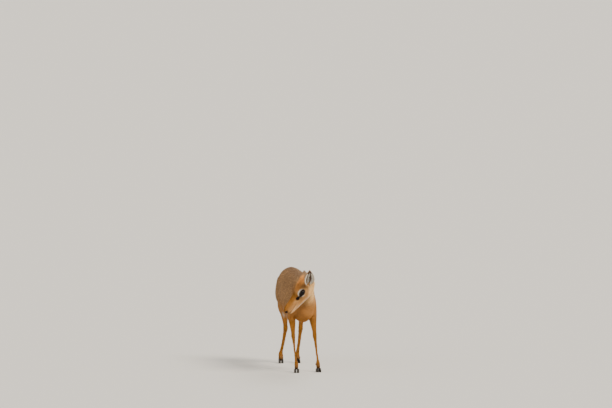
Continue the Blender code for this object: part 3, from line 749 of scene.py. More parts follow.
# Each mark is a colour, how strong it is, and the spans that bound it.
# A span is a value, where over it the mark starts and where it is full, or a value that is a share already.
BODY_MARKS = (
    (SPINE_DARK, 0.75, ("spine",), ("z", 0.30, 0.33)),
    (SANDY, 0.85, ("z", 0.255, 0.205)),
    (SANDY, 0.75, ("y", -0.0458, -0.0958), ("z", 0.34, 0.26)),
    (RUMP_RUST, 0.65, ("y", 0.1742, 0.2142)),
    (TAN, 1.0, ("z", 0.215, 0.165)),
    # The pale buff of the neck's sides, brightened as painted sunlight
    (NECK_BUFF_SUNLIT, 0.92, ("y", -0.0958, -0.1408), ("z", 0.225, 0.275), ("up", 0.85, 0.35)),
    # The inner thighs and belly are white, but the white is kept faint on the thighs and held back where they
    # face forward, as painted shade
    (WHITE, 0.40, ("inward", 0.1, 0.7), ("z", 0.13, 0.19), ("back", -0.65, -0.30),
     ("z", 0.26, 0.22), ("y", -0.0808, 0.0092)),
    (WHITE, 0.90, ("back", -0.65, -0.30), ("up", -0.45, -0.90), ("z", 0.15, 0.17), ("z", 0.26, 0.22),
     ("y", -0.0658, -0.0108), ("y", 0.1642, 0.1292)),
    (NOSE_RUST, 0.35, ("back", -0.3, -0.9), ("z", 0.15, 0.11)),
    (SPINE_DARK, 0.55, ("z", 0.034, 0.022)),
    (WHITE, 0.9, ("y", 0.1992, 0.2142), ("rump",), ("z", 0.315, 0.30), ("z", 0.200, 0.220),
     ("y", 0.2332, 0.2282)),
    (SPINE_DARK, 1.0, ("y", 0.2282, 0.2332)),
    (WHITE, 0.85, ("y", 0.2282, 0.2332), ("off_middle", 0.0048, 0.0075)),
)
HEAD_MARKS = (
    # The nape's buff, brightened as painted sunlight
    (NECK_BUFF_SUNLIT, 0.9, ("rear", 0.022, 0.008), ("above", 0.011, 0.001)),
    (CROWN_RUST, 1.0, ("above", 0.009, 0.018), ("along", 0.072, 0.050)),
    (NOSE_RUST, 1.0, ("above", -0.003, 0.006), ("along", 0.058, 0.072)),
    (NOSE_RUST, 0.6, ("above", -0.010, -0.002), ("along", 0.090, 0.110)),
    (LIP_CREAM, 0.70, ("above", -0.0205, -0.0245), ("along", 0.030, 0.065)),
    (WHITE, 0.60, ("above", -0.0205, -0.0245), ("along", 0.030, 0.065), ("up", -0.55, -0.95)),
    (LIP_CREAM, 0.70, ("lips",), ("along", 0.082, 0.100)),
    (LIP_CREAM, 0.80, ("above", -0.015, -0.018), ("along", 0.095, 0.110)),
    (LIP_LINE, 0.8, ("off_lips", 0.0014, 0.0006), ("along", 0.0920, 0.0945), ("along", 0.1340, 0.1300)),
    (WHITE, 0.97, ("off_ring", 0.0, -0.16), ("aside", 0.011, 0.016)),
    (BLACK, 0.95, ("tear",), ("along", 0.050, 0.055), ("along", 0.081, 0.077), ("aside", 0.006, 0.011)),
    (BLACK, 0.98, ("off_gland", 0.0062, 0.0049), ("aside", 0.006, 0.010)),
    (BLACK, 0.97, ("off_lids", 1.28, 1.18), ("aside", 0.014, 0.018)),
    (BLACK, 0.96, ("off_nose", 1.12, 0.92)),
    (BLACK, 0.95, ("off_nostril", 0.0034, 0.0022), ("aside", 0.004, 0.006)),
)


def body_marks(spots, normals):
    x = spots[:, 0] - TRUNK_X
    values = {"y": spots[:, 1], "z": spots[:, 2], "off_middle": np.abs(x), "spine": bump_at(x, 0, 0.022),
              "rump": bump_at(x, 0, 0.016), "up": normals[:, 2], "back": normals[:, 1],
              "inward": -normals[:, 0] * np.sign(x)}
    return laid_on(np.tile(GRIZZLE, (len(spots), 1)), values, BODY_MARKS)


def head_marks(spots, normals):
    along, aside, above = head_places(spots)
    aside = np.abs(aside)
    rim = lid_distance(along, above)
    around = np.arctan2(above - EYE_AT[2], along - EYE_AT[0])
    # The ring is widest ahead of the eye, and the lids' black reaches out along the tear line
    ring = RING_REACH + RING_AHEAD * np.cos(around - RING_WAY)
    lids = 0.40 * bump_at(around, -0.20, 0.35)
    values = {"along": along, "aside": aside, "above": above, "rear": along + 1.2 * above,
              "up": normals @ np.array(crown_way), "lips": bump_at(above, -0.0150, 0.0030),
              "off_lips": np.abs(above - mouth_height(along)), "off_ring": rim - ring, "off_lids": rim - lids,
              "tear": bump_at(above - EYE_AT[2], -0.0020, 0.0046),
              "off_gland": np.hypot((along - GLAND_AT[0]) / 1.45, above - GLAND_AT[1]),
              "off_nose": pad_distance(along, aside, above),
              "off_nostril": np.hypot((along - NOSTRIL[1][0]) / 1.4, above - NOSTRIL[1][1])}
    return laid_on(np.tile(CHEEK, (len(spots), 1)), values, HEAD_MARKS)


def ear_places(spots, side):
    # How far up the ear, as a length and as a share, how far toward its opening and how far across it
    away = spots - np.array(ear_root(side))
    out, deep, wide = (away @ np.array(way) for way in ear_ways(side))
    return out, np.clip((out + EAR_SUNK) / EAR_LENGTH, 0, 1), deep, wide


def ear_marks(spots, normals, side):
    out, share, deep, wide = ear_places(spots, side)
    facing = normals @ np.array(ear_ways(side)[1])
    colour = np.tile(np.array(EAR_BACK), (len(spots), 1))
    edge = smooth_step(np.abs(wide) / np.maximum(ear_width(share), 0.001), 0.80, 0.98)
    colour = mixed(colour, 0.8 * edge, EAR_RIM)
    # Where the cup faces its opening it is darkened: painted shade
    colour = mixed(colour, 0.95 * smooth_step(facing, 0.0, 0.3) * (1 - edge), EAR_INSIDE_SHADE)
    colour = mixed(colour, 0.40 * smooth_step(share, 0.88, 0.99), SPINE_DARK)
    return mixed(colour, 0.5 * smooth_step(share, 0.12, 0.02), CROWN_RUST)


def head_share(spots):
    return smooth_step((spots - np.array(HEAD_PLANE)) @ np.array(HEAD_FACING), -0.012, 0.014)


def ear_share(spots, side):
    # 1 on the rolled leaf of an ear, and 0 on the head and neck round it
    out, share, deep, wide = ear_places(spots, side)
    radius = ear_radius(share)
    off_leaf = np.abs(np.hypot(radius + EAR_BEND * share * share - deep, wide) - radius)
    aside = head_places(spots)[1] * side
    return smooth_step(out, 0.001, 0.007) * smooth_step(off_leaf, 0.0046, 0.0030) * (aside > 0.004)


def marks(spots, normals):
    colour = body_marks(spots, normals)
    share = head_share(spots)[:, None]
    colour = colour * (1 - share) + head_marks(spots, normals) * share
    for side in (-1, 1):
        share = ear_share(spots, side)[:, None]
        colour = colour * (1 - share) + ear_marks(spots, normals, side) * share
    return np.clip(colour, 0, 1)


def paint(mesh, colours):
    layer = mesh.color_attributes.new("coat_colour", "FLOAT_COLOR", "POINT")
    solid = np.hstack([colours, np.ones((len(colours), 1))])
    layer.data.foreach_set("color", solid.astype(np.float32).ravel())


def shader_node(tree, kind, given, **settings):
    # One node of a shader: each of its inputs is given a value, or the socket that feeds it
    made = tree.nodes.new("ShaderNode" + kind)
    for key, value in settings.items():
        setattr(made, key, value)
    for key, value in given.items():
        if isinstance(value, bpy.types.NodeSocket):
            tree.links.new(value, made.inputs[key])
        else:
            made.inputs[key].default_value = value
    return made


def object_places(tree):
    return shader_node(tree, "TexCoord", {}).outputs["Object"]


def new_finish(name):
    finish = bpy.data.materials.new(name)
    finish.use_nodes = True
    return finish, finish.node_tree, finish.node_tree.nodes["Principled BSDF"]


def two_colour_ramp(tree, share, low, high):
    ramp = shader_node(tree, "ValToRGB", {"Fac": share})
    for element, (position, colour) in zip(ramp.color_ramp.elements, (low, high)):
        element.position = position
        element.color = colour
    return ramp.outputs["Color"]


def grizzle_group():
    # Fine flecks of lighter and darker hair over a colour, and their height
    group = bpy.data.node_groups.new("grizzled hair", "ShaderNodeTree")
    for name, kind in (("Colour", "NodeSocketColor"), ("Fleck size", "NodeSocketFloat"),
                       ("Contrast", "NodeSocketFloat")):
        group.interface.new_socket(name, in_out="INPUT", socket_type=kind)
    group.interface.new_socket("Colour", in_out="OUTPUT", socket_type="NodeSocketColor")
    group.interface.new_socket("Height", in_out="OUTPUT", socket_type="NodeSocketFloat")
    given = group.nodes.new("NodeGroupInput").outputs
    where = object_places(group)
    fine = shader_node(group, "TexNoise", {"Vector": where, "Scale": given["Fleck size"], "Detail": 3.0})
    broad = shader_node(group, "TexNoise", {"Vector": where, "Scale": 55.0, "Detail": 2.0})
    both = shader_node(group, "Math", {0: fine.outputs["Fac"], 1: broad.outputs["Fac"]}, operation="ADD")
    spread = shader_node(group, "Math", {0: both.outputs[0], 1: 1.0}, operation="SUBTRACT")
    strong = shader_node(group, "Math", {0: spread.outputs[0], 1: given["Contrast"], 2: 1.0},
                         operation="MULTIPLY_ADD")
    tint = shader_node(group, "VectorMath", {0: given["Colour"], "Scale": strong.outputs[0]},
                       operation="SCALE")
    result = group.nodes.new("NodeGroupOutput")
    group.links.new(tint.outputs[0], result.inputs["Colour"])
    group.links.new(fine.outputs["Fac"], result.inputs["Height"])
    return group


grizzled_hair = grizzle_group()


def hair_finish(name, fleck, contrast, relief, roughness):
    finish, tree, shader = new_finish(name)
    painted = shader_node(tree, "Attribute", {}, attribute_name="coat_colour")
    hair = shader_node(tree, "Group", {}, node_tree=grizzled_hair)
    hair.inputs["Fleck size"].default_value = fleck
    hair.inputs["Contrast"].default_value = contrast
    tree.links.new(painted.outputs["Color"], hair.inputs["Colour"])
    tree.links.new(hair.outputs["Colour"], shader.inputs["Base Color"])
    bump = shader_node(tree, "Bump", {"Strength": relief, "Distance": HAIR_RELIEF,
                                      "Height": hair.outputs["Height"]})
    tree.links.new(bump.outputs["Normal"], shader.inputs["Normal"])
    shader.inputs["Roughness"].default_value = roughness
    shader.inputs["Specular IOR Level"].default_value = HAIR_SHEEN
    return finish


def dress(item, finish):
    item.data.materials.clear()
    item.data.materials.append(finish)


spots = places(skin.data)
normals = outward(skin.data)
skin_colours = marks(spots, normals)
paint(skin.data, skin_colours)
dress(skin, hair_finish("hide", 1400.0, 0.5, 0.8, 0.75))
pick(skin)
bpy.ops.object.shade_smooth_by_angle(angle=math.radians(60))


# Eyes
# Big dark eyeballs with a low clear dome in front, a brown iris and a long level pupil.
# Each is one glossy ball that sits deep in its socket, under the lids.

IRIS_SPREAD = 0.80
DOME = 0.0005
PUPIL_LONG = 0.0062
PUPIL_HIGH = 0.0040
IRIS_BROWN = (0.010, 0.0040, 0.0018, 1)
PUPIL_BLACK = (0.002, 0.0015, 0.0015, 1)


def eye_finish(word, centre):
    # The pupil is an oval, long along the head, and the iris lies round it
    finish, tree, shader = new_finish("eye_" + word)
    where = object_places(tree)
    away = shader_node(tree, "VectorMath", {0: where, 1: centre}, operation="SUBTRACT").outputs[0]
    squares = []
    for way, reach in ((nose_way, PUPIL_LONG), (crown_way, PUPIL_HIGH)):
        along = shader_node(tree, "VectorMath", {0: away, 1: way / reach}, operation="DOT_PRODUCT")
        value = along.outputs["Value"]
        squares.append(shader_node(tree, "Math", {0: value, 1: value}, operation="MULTIPLY").outputs[0])
    spread = shader_node(tree, "Math", {0: squares[0], 1: squares[1]}, operation="ADD").outputs[0]
    colour = two_colour_ramp(tree, spread, (0.75, PUPIL_BLACK), (1.0, IRIS_BROWN))
    tree.links.new(colour, shader.inputs["Base Color"])
    shader.inputs["Roughness"].default_value = 0.05
    shader.inputs["Specular IOR Level"].default_value = 0.14
    return finish


for word, side in SIDES:
    centre = middle_of("eye_" + word)
    eyeball = ball(centre, (EYE_RADIUS,) * 3, head_turn, 64, 40)
    eyeball.name = "eyeball_" + word
    spots = places(eyeball.data)
    axis = left_way * side
    facing = ((spots - np.array(centre)) / EYE_RADIUS) @ np.array(axis)
    put_places(eyeball.data, spots + np.outer(DOME * smooth_step(facing, IRIS_SPREAD, 1.0), axis))
    dress(eyeball, eye_finish(word, centre))
    pick(eyeball)
    bpy.ops.object.shade_smooth()
    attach(eyeball, "root")
    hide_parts("eye_" + word)


# Hooves
# Two narrow pointed toes of black horn to a foot, flat below, and two small false hooves behind it.
# Each toe is drawn from a cylinder: pointed in front, round behind, and drawn in toward the hair line.

TOE_LENGTH = 0.027
TOE_WIDTH = 0.0088
HOOF_TOP = 0.0165
# Each level of a toe: its height, its share of the length and of the width, and how far it leans back
TOE_LEVELS = (
    (0.0, 0.94, 0.90, 0.0),
    (0.0008, 0.99, 0.97, 0.0),
    (0.0020, 1.0, 1.0, 0.0),
    (0.0060, 0.93, 0.99, 0.0003),
    (0.0100, 0.80, 0.97, 0.0010),
    (0.0135, 0.68, 0.94, 0.0020),
    (HOOF_TOP, 0.56, 0.84, 0.0028),
)
TOE_NARROWS = 0.55
TOE_TURN = math.radians(7)
HAIR_LINE_SLOPE = 0.35
HAIR_LINE_LEVEL = 0.31
SPUR_SHARE = 0.82
SPUR_TAPER = 0.4
SPUR_AHEAD = 0.0008
HORN = (0.020, 0.017, 0.015, 1)
HORN_PALE = (0.070, 0.055, 0.042, 1)


def horn_finish():
    # Dark horn with paler worn patches and faint rings round it
    finish, tree, shader = new_finish("hoof_horn")
    where = object_places(tree)
    rings = shader_node(tree, "TexWave", {"Vector": where, "Scale": 120.0, "Distortion": 2.0},
                        bands_direction="Z")
    wear = shader_node(tree, "TexNoise", {"Vector": where, "Scale": 260.0}).outputs["Fac"]
    colour = two_colour_ramp(tree, wear, (0.45, HORN), (0.80, HORN_PALE))
    tree.links.new(colour, shader.inputs["Base Color"])
    bump = shader_node(tree, "Bump", {"Strength": 0.3, "Distance": 0.0002, "Height": rings.outputs["Fac"]})
    tree.links.new(bump.outputs["Normal"], shader.inputs["Normal"])
    shader.inputs["Roughness"].default_value = 0.42
    return finish


def toe(node, turn_out):
    # The solid hoof gives the place: the middle of its box on the floor
    middle = middle_of(node)
    bpy.ops.mesh.primitive_cylinder_add(vertices=32, radius=1, depth=2, end_fill_type="TRIFAN")
    item = bpy.context.object
    cut = len(TOE_LEVELS) - 1
    for k in range(1, cut):
        edit(item, lambda: bpy.ops.mesh.bisect(plane_co=(0, 0, -1 + 2 * k / cut), plane_no=(0, 0, 1)))
    spots = places(item.data)
    rows = smooth_rows(TOE_LEVELS, (spots[:, 2] + 1) / 2 * cut)
    ahead = spots[:, 0]
    narrow = 1 - TOE_NARROWS * np.maximum(ahead, 0) ** 1.5
    x = spots[:, 1] * TOE_WIDTH / 2 * rows[:, 2] * narrow
    y = -ahead * TOE_LENGTH / 2 * rows[:, 1] + rows[:, 3]
    turned = Matrix.Rotation(turn_out, 3, "Z")
    # The hair line falls toward the heel
    drop = HAIR_LINE_SLOPE * (y + TOE_LENGTH * HAIR_LINE_LEVEL) * (rows[:, 0] / HOOF_TOP) ** 2
    flat = np.stack([x, y, np.maximum(rows[:, 0] - drop, 0)], axis=1) @ np.array(turned).T
    put_places(item.data, flat + np.array((middle.x, middle.y, 0)))
    face_out(item)
    return item


def spur_of(centre, half):
    # A small blunt cone of horn that points down
    item = ball(centre, half * SPUR_SHARE, segments=20, bands=14)
    away = places(item.data) - np.array(centre)
    narrow = 1 - SPUR_TAPER * np.clip(-away[:, 2] / (half[2] * SPUR_SHARE), 0, 1)
    away[:, :2] *= narrow[:, None]
    put_places(item.data, away + np.array(centre) - np.array((0, SPUR_AHEAD, 0)))
    return item


horn = horn_finish()
for foot in FEET:
    outward_side = 1 if foot.endswith("left") else -1
    for word in ("inner", "outer"):
        node = f"hoof_{foot}_{word}"
        hoof = toe(node, outward_side * TOE_TURN)
        hoof.name = f"toe_{foot}_{word}"
        spur_node = "false_" + node
        low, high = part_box(spur_node)
        spur = spur_of((low + high) / 2, (high - low) / 2)
        spur.name = f"spur_{foot}_{word}"
        for piece, replaced in ((hoof, node), (spur, spur_node)):
            dress(piece, horn)
            pick(piece)
            bpy.ops.object.shade_smooth_by_angle(angle=math.radians(45))
            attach(piece, "root")
            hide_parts(replaced)


# Coat: how it lies
# Over the whole hide the hair points away from the nose: back over the face, down the neck,
# back and down along the trunk, and straight down the legs. It is shortest on nose and feet.

# Ways that the hair takes, how fully, and on which axis and between which places it turns to them
BODY_LIE = (
    ((0.0, 0.30, -1.0), 1.0, 1, 0.1392, 0.2092),
    ((0.0, 0.55, -1.0), 0.6, 2, 0.28, 0.22),
    ((0.0, 0.16, -1.0), 1.0, 2, 0.215, 0.170),
)
BACK_LIE = (0.0, 1.0, -0.28)
# The length of the hair at heights above the floor, and at places along the head
HAIR_BY_HEIGHT = ((0.02, 0.0034), (0.11, 0.0042), (0.15, 0.0056), (0.19, 0.0086), (0.24, 0.0130),
                  (0.28, 0.0160))
FACE_HAIR = ((-0.01, 0.0085), (0.02, 0.0065), (0.06, 0.0048), (0.10, 0.0040), (0.125, 0.0030),
             (0.14, 0.0018))
NECK_HAIR = 0.0125
EAR_COAT_HAIR = 0.0042


def path_lengths(spots, ends, start):
    # The shortest way over the hide from one point to each other point
    steps = np.linalg.norm(spots[ends[:, 1]] - spots[ends[:, 0]], axis=1)
    near = [[] for _ in range(len(spots))]
    for (here, there), step in zip(ends.tolist(), steps.tolist()):
        near[here].append((there, step))
        near[there].append((here, step))
    lengths = np.full(len(spots), np.inf)
    lengths[start] = 0
    waiting = [(0.0, start)]
    while waiting:
        length, here = heapq.heappop(waiting)
        if length > lengths[here]:
            continue
        for there, step in near[here]:
            if length + step < lengths[there]:
                lengths[there] = length + step
                heapq.heappush(waiting, (length + step, there))
    return lengths


def uphill(values, spots, ends):
    # At each point, the way in which a value over the hide grows
    step = spots[ends[:, 1]] - spots[ends[:, 0]]
    rise = values[ends[:, 1]] - values[ends[:, 0]]
    slope = step * (rise / np.maximum(np.sum(step * step, axis=1), 1e-10))[:, None]
    ways = np.zeros((len(spots), 3))
    for k in range(3):
        for end in (0, 1):
            ways[:, k] += np.bincount(ends[:, end], weights=slope[:, k], minlength=len(spots))
    return ways


def lie_of(spots, from_nose):
    # from_nose: the way over the hide that leads away from the tip of the nose
    y = spots[:, 1]
    z = spots[:, 2]
    way = np.tile(BACK_LIE, (len(spots), 1))
    for other, strength, axis, low, high in BODY_LIE:
        way = mixed(way, strength * smooth_step(spots[:, axis], low, high), other)
    way = unit(way)
    share = (smooth_step(y, -0.0408, -0.1008) * smooth_step(z, 0.165, 0.205))[:, None]
    way = way * (1 - share) + from_nose * share
    along, aside, above = head_places(spots)
    face = unit(-np.array(nose_way) - 0.28 * np.outer(smooth_step(above, 0.012, -0.012), crown_way)
                + 0.16 * np.outer(np.sign(aside) * smooth_step(above, 0.002, 0.018), left_way))
    share = head_share(spots)[:, None]
    way = way * (1 - share) + from_nose * share
    share = share * smooth_step(along, 0.000, 0.022)[:, None]
    way = way * (1 - share) + face * share
    for side in (-1, 1):
        share = ear_share(spots, side)[:, None]
        way = way * (1 - share) + np.array(ear_ways(side)[0]) * share
    return way


def unit(ways):
    return ways / np.maximum(np.linalg.norm(ways, axis=1), 1e-9)[:, None]


def flattened(ways, normals):
    return unit(ways - normals * np.sum(ways * normals, axis=1)[:, None])


def hair_length(spots):
    along, aside, above = head_places(spots)
    z = spots[:, 2]
    length = np.interp(z, *zip(*HAIR_BY_HEIGHT))
    length = length + ((NECK_HAIR - length) * smooth_step(spots[:, 1], -0.0608, -0.1208)
                       * smooth_step(z, 0.22, 0.25))
    face = np.interp(along, *zip(*FACE_HAIR))
    rim = lid_distance(along, above)
    face = face * (0.45 + 0.55 * smooth_step(rim, 1.2, 2.2))
    off_lips = np.abs(above - mouth_height(along)) + 0.01 * (along < MOUTH_CORNER - 0.002)
    face = face * (0.35 + 0.65 * smooth_step(off_lips, 0.0006, 0.0030))
    share = head_share(spots)
    length = length * (1 - share) + face * share
    for side in (-1, 1):
        share = ear_share(spots, side)
        length = length * (1 - share) + EAR_COAT_HAIR * share
    return length


spots = places(skin.data)
normals = outward(skin.data)
ends = edge_ends(skin.data)
nose_tip = int(np.argmax(spots @ np.array(nose_way)))
paths = path_lengths(spots, ends, nose_tip)[:, None]
for _ in range(20):
    paths = averaged(paths, ends)
from_nose = flattened(uphill(paths[:, 0], spots, ends), normals)
for _ in range(15):
    from_nose = flattened(from_nose + averaged(from_nose, ends), normals)
lies = lie_of(spots, from_nose)
for _ in range(25):
    lies = flattened(lies + averaged(lies, ends), normals)

# Hair leans a little to one side or the other in patches a few centimetres wide
sway = np.random.default_rng(7).normal(0, 1, (len(spots), 2))
for _ in range(40):
    sway = averaged(sway, ends)
sway = sway / sway.std(axis=0) * (1 - 0.6 * head_share(spots))[:, None]
lies = flattened(lies + np.cross(normals, lies) * (0.10 * sway[:, 0])[:, None], normals)
lengths = hair_length(spots)
depths = np.clip(lengths * 0.24, 0.0008, TRUNK_COAT) * (1 + 0.12 * np.clip(sway[:, 1], -2, 2))
agouti = smooth_step(spots[:, 2], 0.195, 0.26) * (1 - head_share(spots))
agouti = agouti * (1 - 0.65 * smooth_step(spots[:, 1], -0.0858, -0.1258))

skin.data.calc_loop_triangles()
corners = listed(skin.data.loop_triangles, "vertices", 3, np.int32)
loops = listed(skin.data.loop_triangles, "loops", 3, np.int32)
side_one = spots[corners[:, 1]] - spots[corners[:, 0]]
side_two = spots[corners[:, 2]] - spots[corners[:, 0]]
areas = np.linalg.norm(np.cross(side_one, side_two), axis=1) / 2
middles = spots[corners].mean(axis=1)
skin_tree = BVHTree.FromPolygons(spots.tolist(), corners.tolist())


# Coat: the unwrap that places each tuft's patch of colour
# Every stretch of hide is unwrapped on its own and fills the whole square.

def unwrap_stretch(chosen):
    # The faces of one stretch of hide, laid flat by their own shape
    mesh = skin.data
    if "stretch" not in mesh.uv_layers:
        mesh.uv_layers.new(name="stretch")
    owner = listed(mesh.loop_triangles, "polygon_index", 1, np.int32)[:, 0]
    picked = np.zeros(len(mesh.polygons), bool)
    picked[owner[chosen]] = True
    pick(skin)
    mesh.polygons.foreach_set("select", picked)
    mesh.vertices.foreach_set("select", np.zeros(len(mesh.vertices), bool))
    mesh.edges.foreach_set("select", np.zeros(len(mesh.edges), bool))
    bpy.ops.object.mode_set(mode="EDIT")
    bpy.ops.mesh.select_mode(type="FACE")
    bpy.ops.uv.smart_project(angle_limit=math.radians(75), island_margin=0.004, scale_to_bounds=False)
    bpy.ops.object.mode_set(mode="OBJECT")
    return listed(mesh.uv_layers["stretch"].data, "uv", 2).astype(float)


# Coat: the tufts
# Each tuft is one thin tapered lock, closed all round, with a low ridge along its back.
# On body and neck it bends once to follow the form, and on face and shanks it is straight and very small.

PATCH = 0.003
SWING = 0.16
TILT = 0.22
LENGTH_RANGE = (0.72, 1.18)
WIDTH_RANGE = (0.7, 1.25)
DARK_TIP = 0.42
# How far along its length a bent tuft has its shoulder
SHOULDER = 0.45


def scatter(chosen, count, seed):
    # Places spread evenly over the chosen triangles, as corner shares
    rng = np.random.default_rng(seed)
    reach = np.cumsum(areas[chosen] / (lengths[corners[chosen]].mean(axis=1) ** 2))
    ticks = (np.arange(count) + rng.random(count)) / count * reach[-1]
    face = chosen[np.minimum(np.searchsorted(reach, ticks), len(chosen) - 1)]
    first = np.sqrt(rng.random(count))
    second = rng.random(count)
    return face, np.stack([1 - first, first * (1 - second), first * second], axis=1)


def read(values, face, shares):
    return np.einsum("nk,nkd->nd", shares, values[corners[face]])


def read_one(values, face, shares):
    return np.sum(shares * values[corners[face]], axis=1)


def on_skin(points, heights):
    # The nearest places on the hide, lifted to the given heights above it
    found = np.empty((len(points), 3))
    for k, (point, height) in enumerate(zip(points.tolist(), heights)):
        spot, normal, index, away = skin_tree.find_nearest(point)
        found[k] = spot + normal * height
    return found


def tuft_mesh(name, points, tints, patches):
    # points: the corners of each tuft. A spike is a ring of three and a tip,
    # and a blade is a root, one or two rings of three and a tip.
    count, size = points.shape[:2]
    rings = (size - 2) // 3
    if size == 4:
        faces = [(0, 1, 2), (1, 0, 3), (2, 1, 3), (0, 2, 3)]
        inside = np.array(((0, 0), (0.5, 0), (1, 0), (0.5, 1))) * PATCH
    else:
        faces = []
        for k in range(3):
            after = (k + 1) % 3
            faces.append((1 + k, 1 + after, 0))
            for low in range(1, 3 * rings - 2, 3):
                faces += [(low + after, low + k, low + 3 + k), (low + after, low + 3 + k, low + 3 + after)]
            faces.append((3 * rings - 2 + after, 3 * rings - 2 + k, size - 1))
        steps = [(k / 2, (ring + 1) / (rings + 1)) for ring in range(rings) for k in range(3)]
        inside = np.array([(0.5, 0)] + steps + [(0.5, 1)]) * PATCH
    every = (np.array(faces)[None] + (np.arange(count) * size)[:, None, None]).reshape(-1, 3)
    mesh = bpy.data.meshes.new(name)
    mesh.vertices.add(count * size)
    mesh.vertices.foreach_set("co", points.astype(np.float32).ravel())
    mesh.loops.add(len(every) * 3)
    mesh.loops.foreach_set("vertex_index", every.astype(np.int32).ravel())
    mesh.polygons.add(len(every))
    mesh.polygons.foreach_set("loop_start", np.arange(0, len(every) * 3, 3, dtype=np.int32))
    mesh.polygons.foreach_set("use_smooth", np.ones(len(every), bool))
    mesh.update(calc_edges=True)
    paint(mesh, np.clip(tints.reshape(-1, 3), 0, 1))
    spread = np.clip(patches, 0, 1 - PATCH)[:, None, :] + inside[None]
    unwrap = mesh.uv_layers.new(name="OFBake")
    unwrap.data.foreach_set("uv", spread.reshape(-1, 2)[every.ravel()].astype(np.float32).ravel())
    coat = bpy.data.objects.new(name, mesh)
    bpy.context.scene.collection.objects.link(coat)
    dress(coat, hair)
    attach(coat, "root")


def ring_of(middle, across, up, wide, thick):
    return [middle - across * wide[:, None], middle + up * thick[:, None], middle + across * wide[:, None]]


def grow(name, chosen, seed, bent, slenderness, layers, slot):
    rng = np.random.default_rng(seed)
    hide = np.sum(areas[chosen])
    mean_square = hide / np.sum(areas[chosen] / lengths[corners[chosen]].mean(axis=1) ** 2)
    tuft_area = 0.5 * mean_square * slenderness
    count = int(layers * hide / tuft_area)
    face, shares = scatter(chosen, count, seed)
    flat = unwrap_stretch(chosen)
    patches = np.einsum("nk,nkd->nd", shares, flat[loops[face]])
    root = read(spots, face, shares)
    normal = unit(read(normals, face, shares))
    lie = flattened(read(lies, face, shares), normal)
    sideways = np.cross(normal, lie)
    swing = rng.normal(0, SWING, count)
    lie = unit(lie + sideways * swing[:, None])
    across = unit(np.cross(normal, lie) + normal * rng.normal(0, TILT, count)[:, None])
    length = read_one(lengths, face, shares) * rng.uniform(*LENGTH_RANGE, count)
    depth = read_one(depths, face, shares)
    wide = length * slenderness / 2 * rng.uniform(*WIDTH_RANGE, count)
    colour = read(skin_colours, face, shares)
    wild = read_one(agouti, face, shares)
    patchy = 0.06 * read_one(sway[:, 0], face, shares) * wild
    shade = np.exp(rng.normal(0, 1, count) * (0.09 + 0.17 * wild) + patchy)
    colour = colour * shade[:, None]
    dark_tip = rng.random(count) < 0.5 * wild
    tip_shade = np.where(dark_tip, DARK_TIP, 1.10 + 0.12 * wild)
    root_colour = colour * (0.72 - 0.12 * wild)[:, None]
    band_colour = colour * (1.0 + 0.22 * wild)[:, None]
    tip_colour = colour * tip_shade[:, None]
    sunk = root - normal * (0.0003 + 0.05 * depth)[:, None]
    top = rng.uniform(0.35, 1.0, count)
    if bent:
        half = on_skin(root + lie * (length * SHOULDER)[:, None], depth * (0.30 + 0.42 * top))
        tip = on_skin(root + lie * length[:, None], depth * (0.18 + 0.82 * top ** 1.5))
        points = [sunk] + ring_of(half, across, normal, wide, wide * 0.5) + [tip]
        tints = [root_colour] + [band_colour] * 3 + [tip_colour]
        # A fold of the hide can catch a tip and throw it off its line, and such a tuft is left out
        fits = np.linalg.norm(tip - root - lie * length[:, None], axis=1) < 0.45 * length + depth
    else:
        tip = root + lie * length[:, None] + normal * (depth * (0.25 + 0.75 * top))[:, None]
        points = ring_of(sunk, across, normal, wide, wide * 0.7) + [tip]
        tints = [root_colour] * 3 + [tip_colour]
        fits = np.ones(count, bool)
    tuft_mesh(name, np.stack(points, axis=1)[fits], np.stack(tints, axis=1)[fits], patches[fits])


hair = hair_finish("coat_hair", 900.0, 0.45, 0.0, 0.7)
on_head_now = head_share(middles) > 0.5
on_ear = (ear_share(middles, -1) + ear_share(middles, 1)) > 0.5
along, aside, above = head_places(middles)
lid_near = lid_distance(along, above)
on_pad = pad_distance(along, aside, above) < 0.95
on_lips = (np.abs(above - mouth_height(along)) < 0.0008) & (along > MOUTH_CORNER) & (along < 0.133)
bare = on_head_now & ~on_ear & ((lid_near < 1.20) & (np.abs(aside) > 0.018) | on_pad | on_lips)
on_face = on_head_now & ~on_ear & ~bare
on_tail = ~on_head_now & (middles[:, 1] > 0.2277) & (middles[:, 2] > 0.262)
on_foot = middles[:, 2] < 0.0125
on_shank = ~on_head_now & (middles[:, 2] < 0.150) & ~on_foot
on_trunk = ~on_head_now & ~on_ear & ~on_tail & (middles[:, 2] >= 0.150)
on_neck = on_trunk & (middles[:, 1] < -0.0958) & (middles[:, 2] > 0.235)
on_trunk = on_trunk & ~on_neck
right = middles[:, 0] < TRUNK_X
barrel = np.abs(middles[:, 1] - 0.0242) <= 0.050
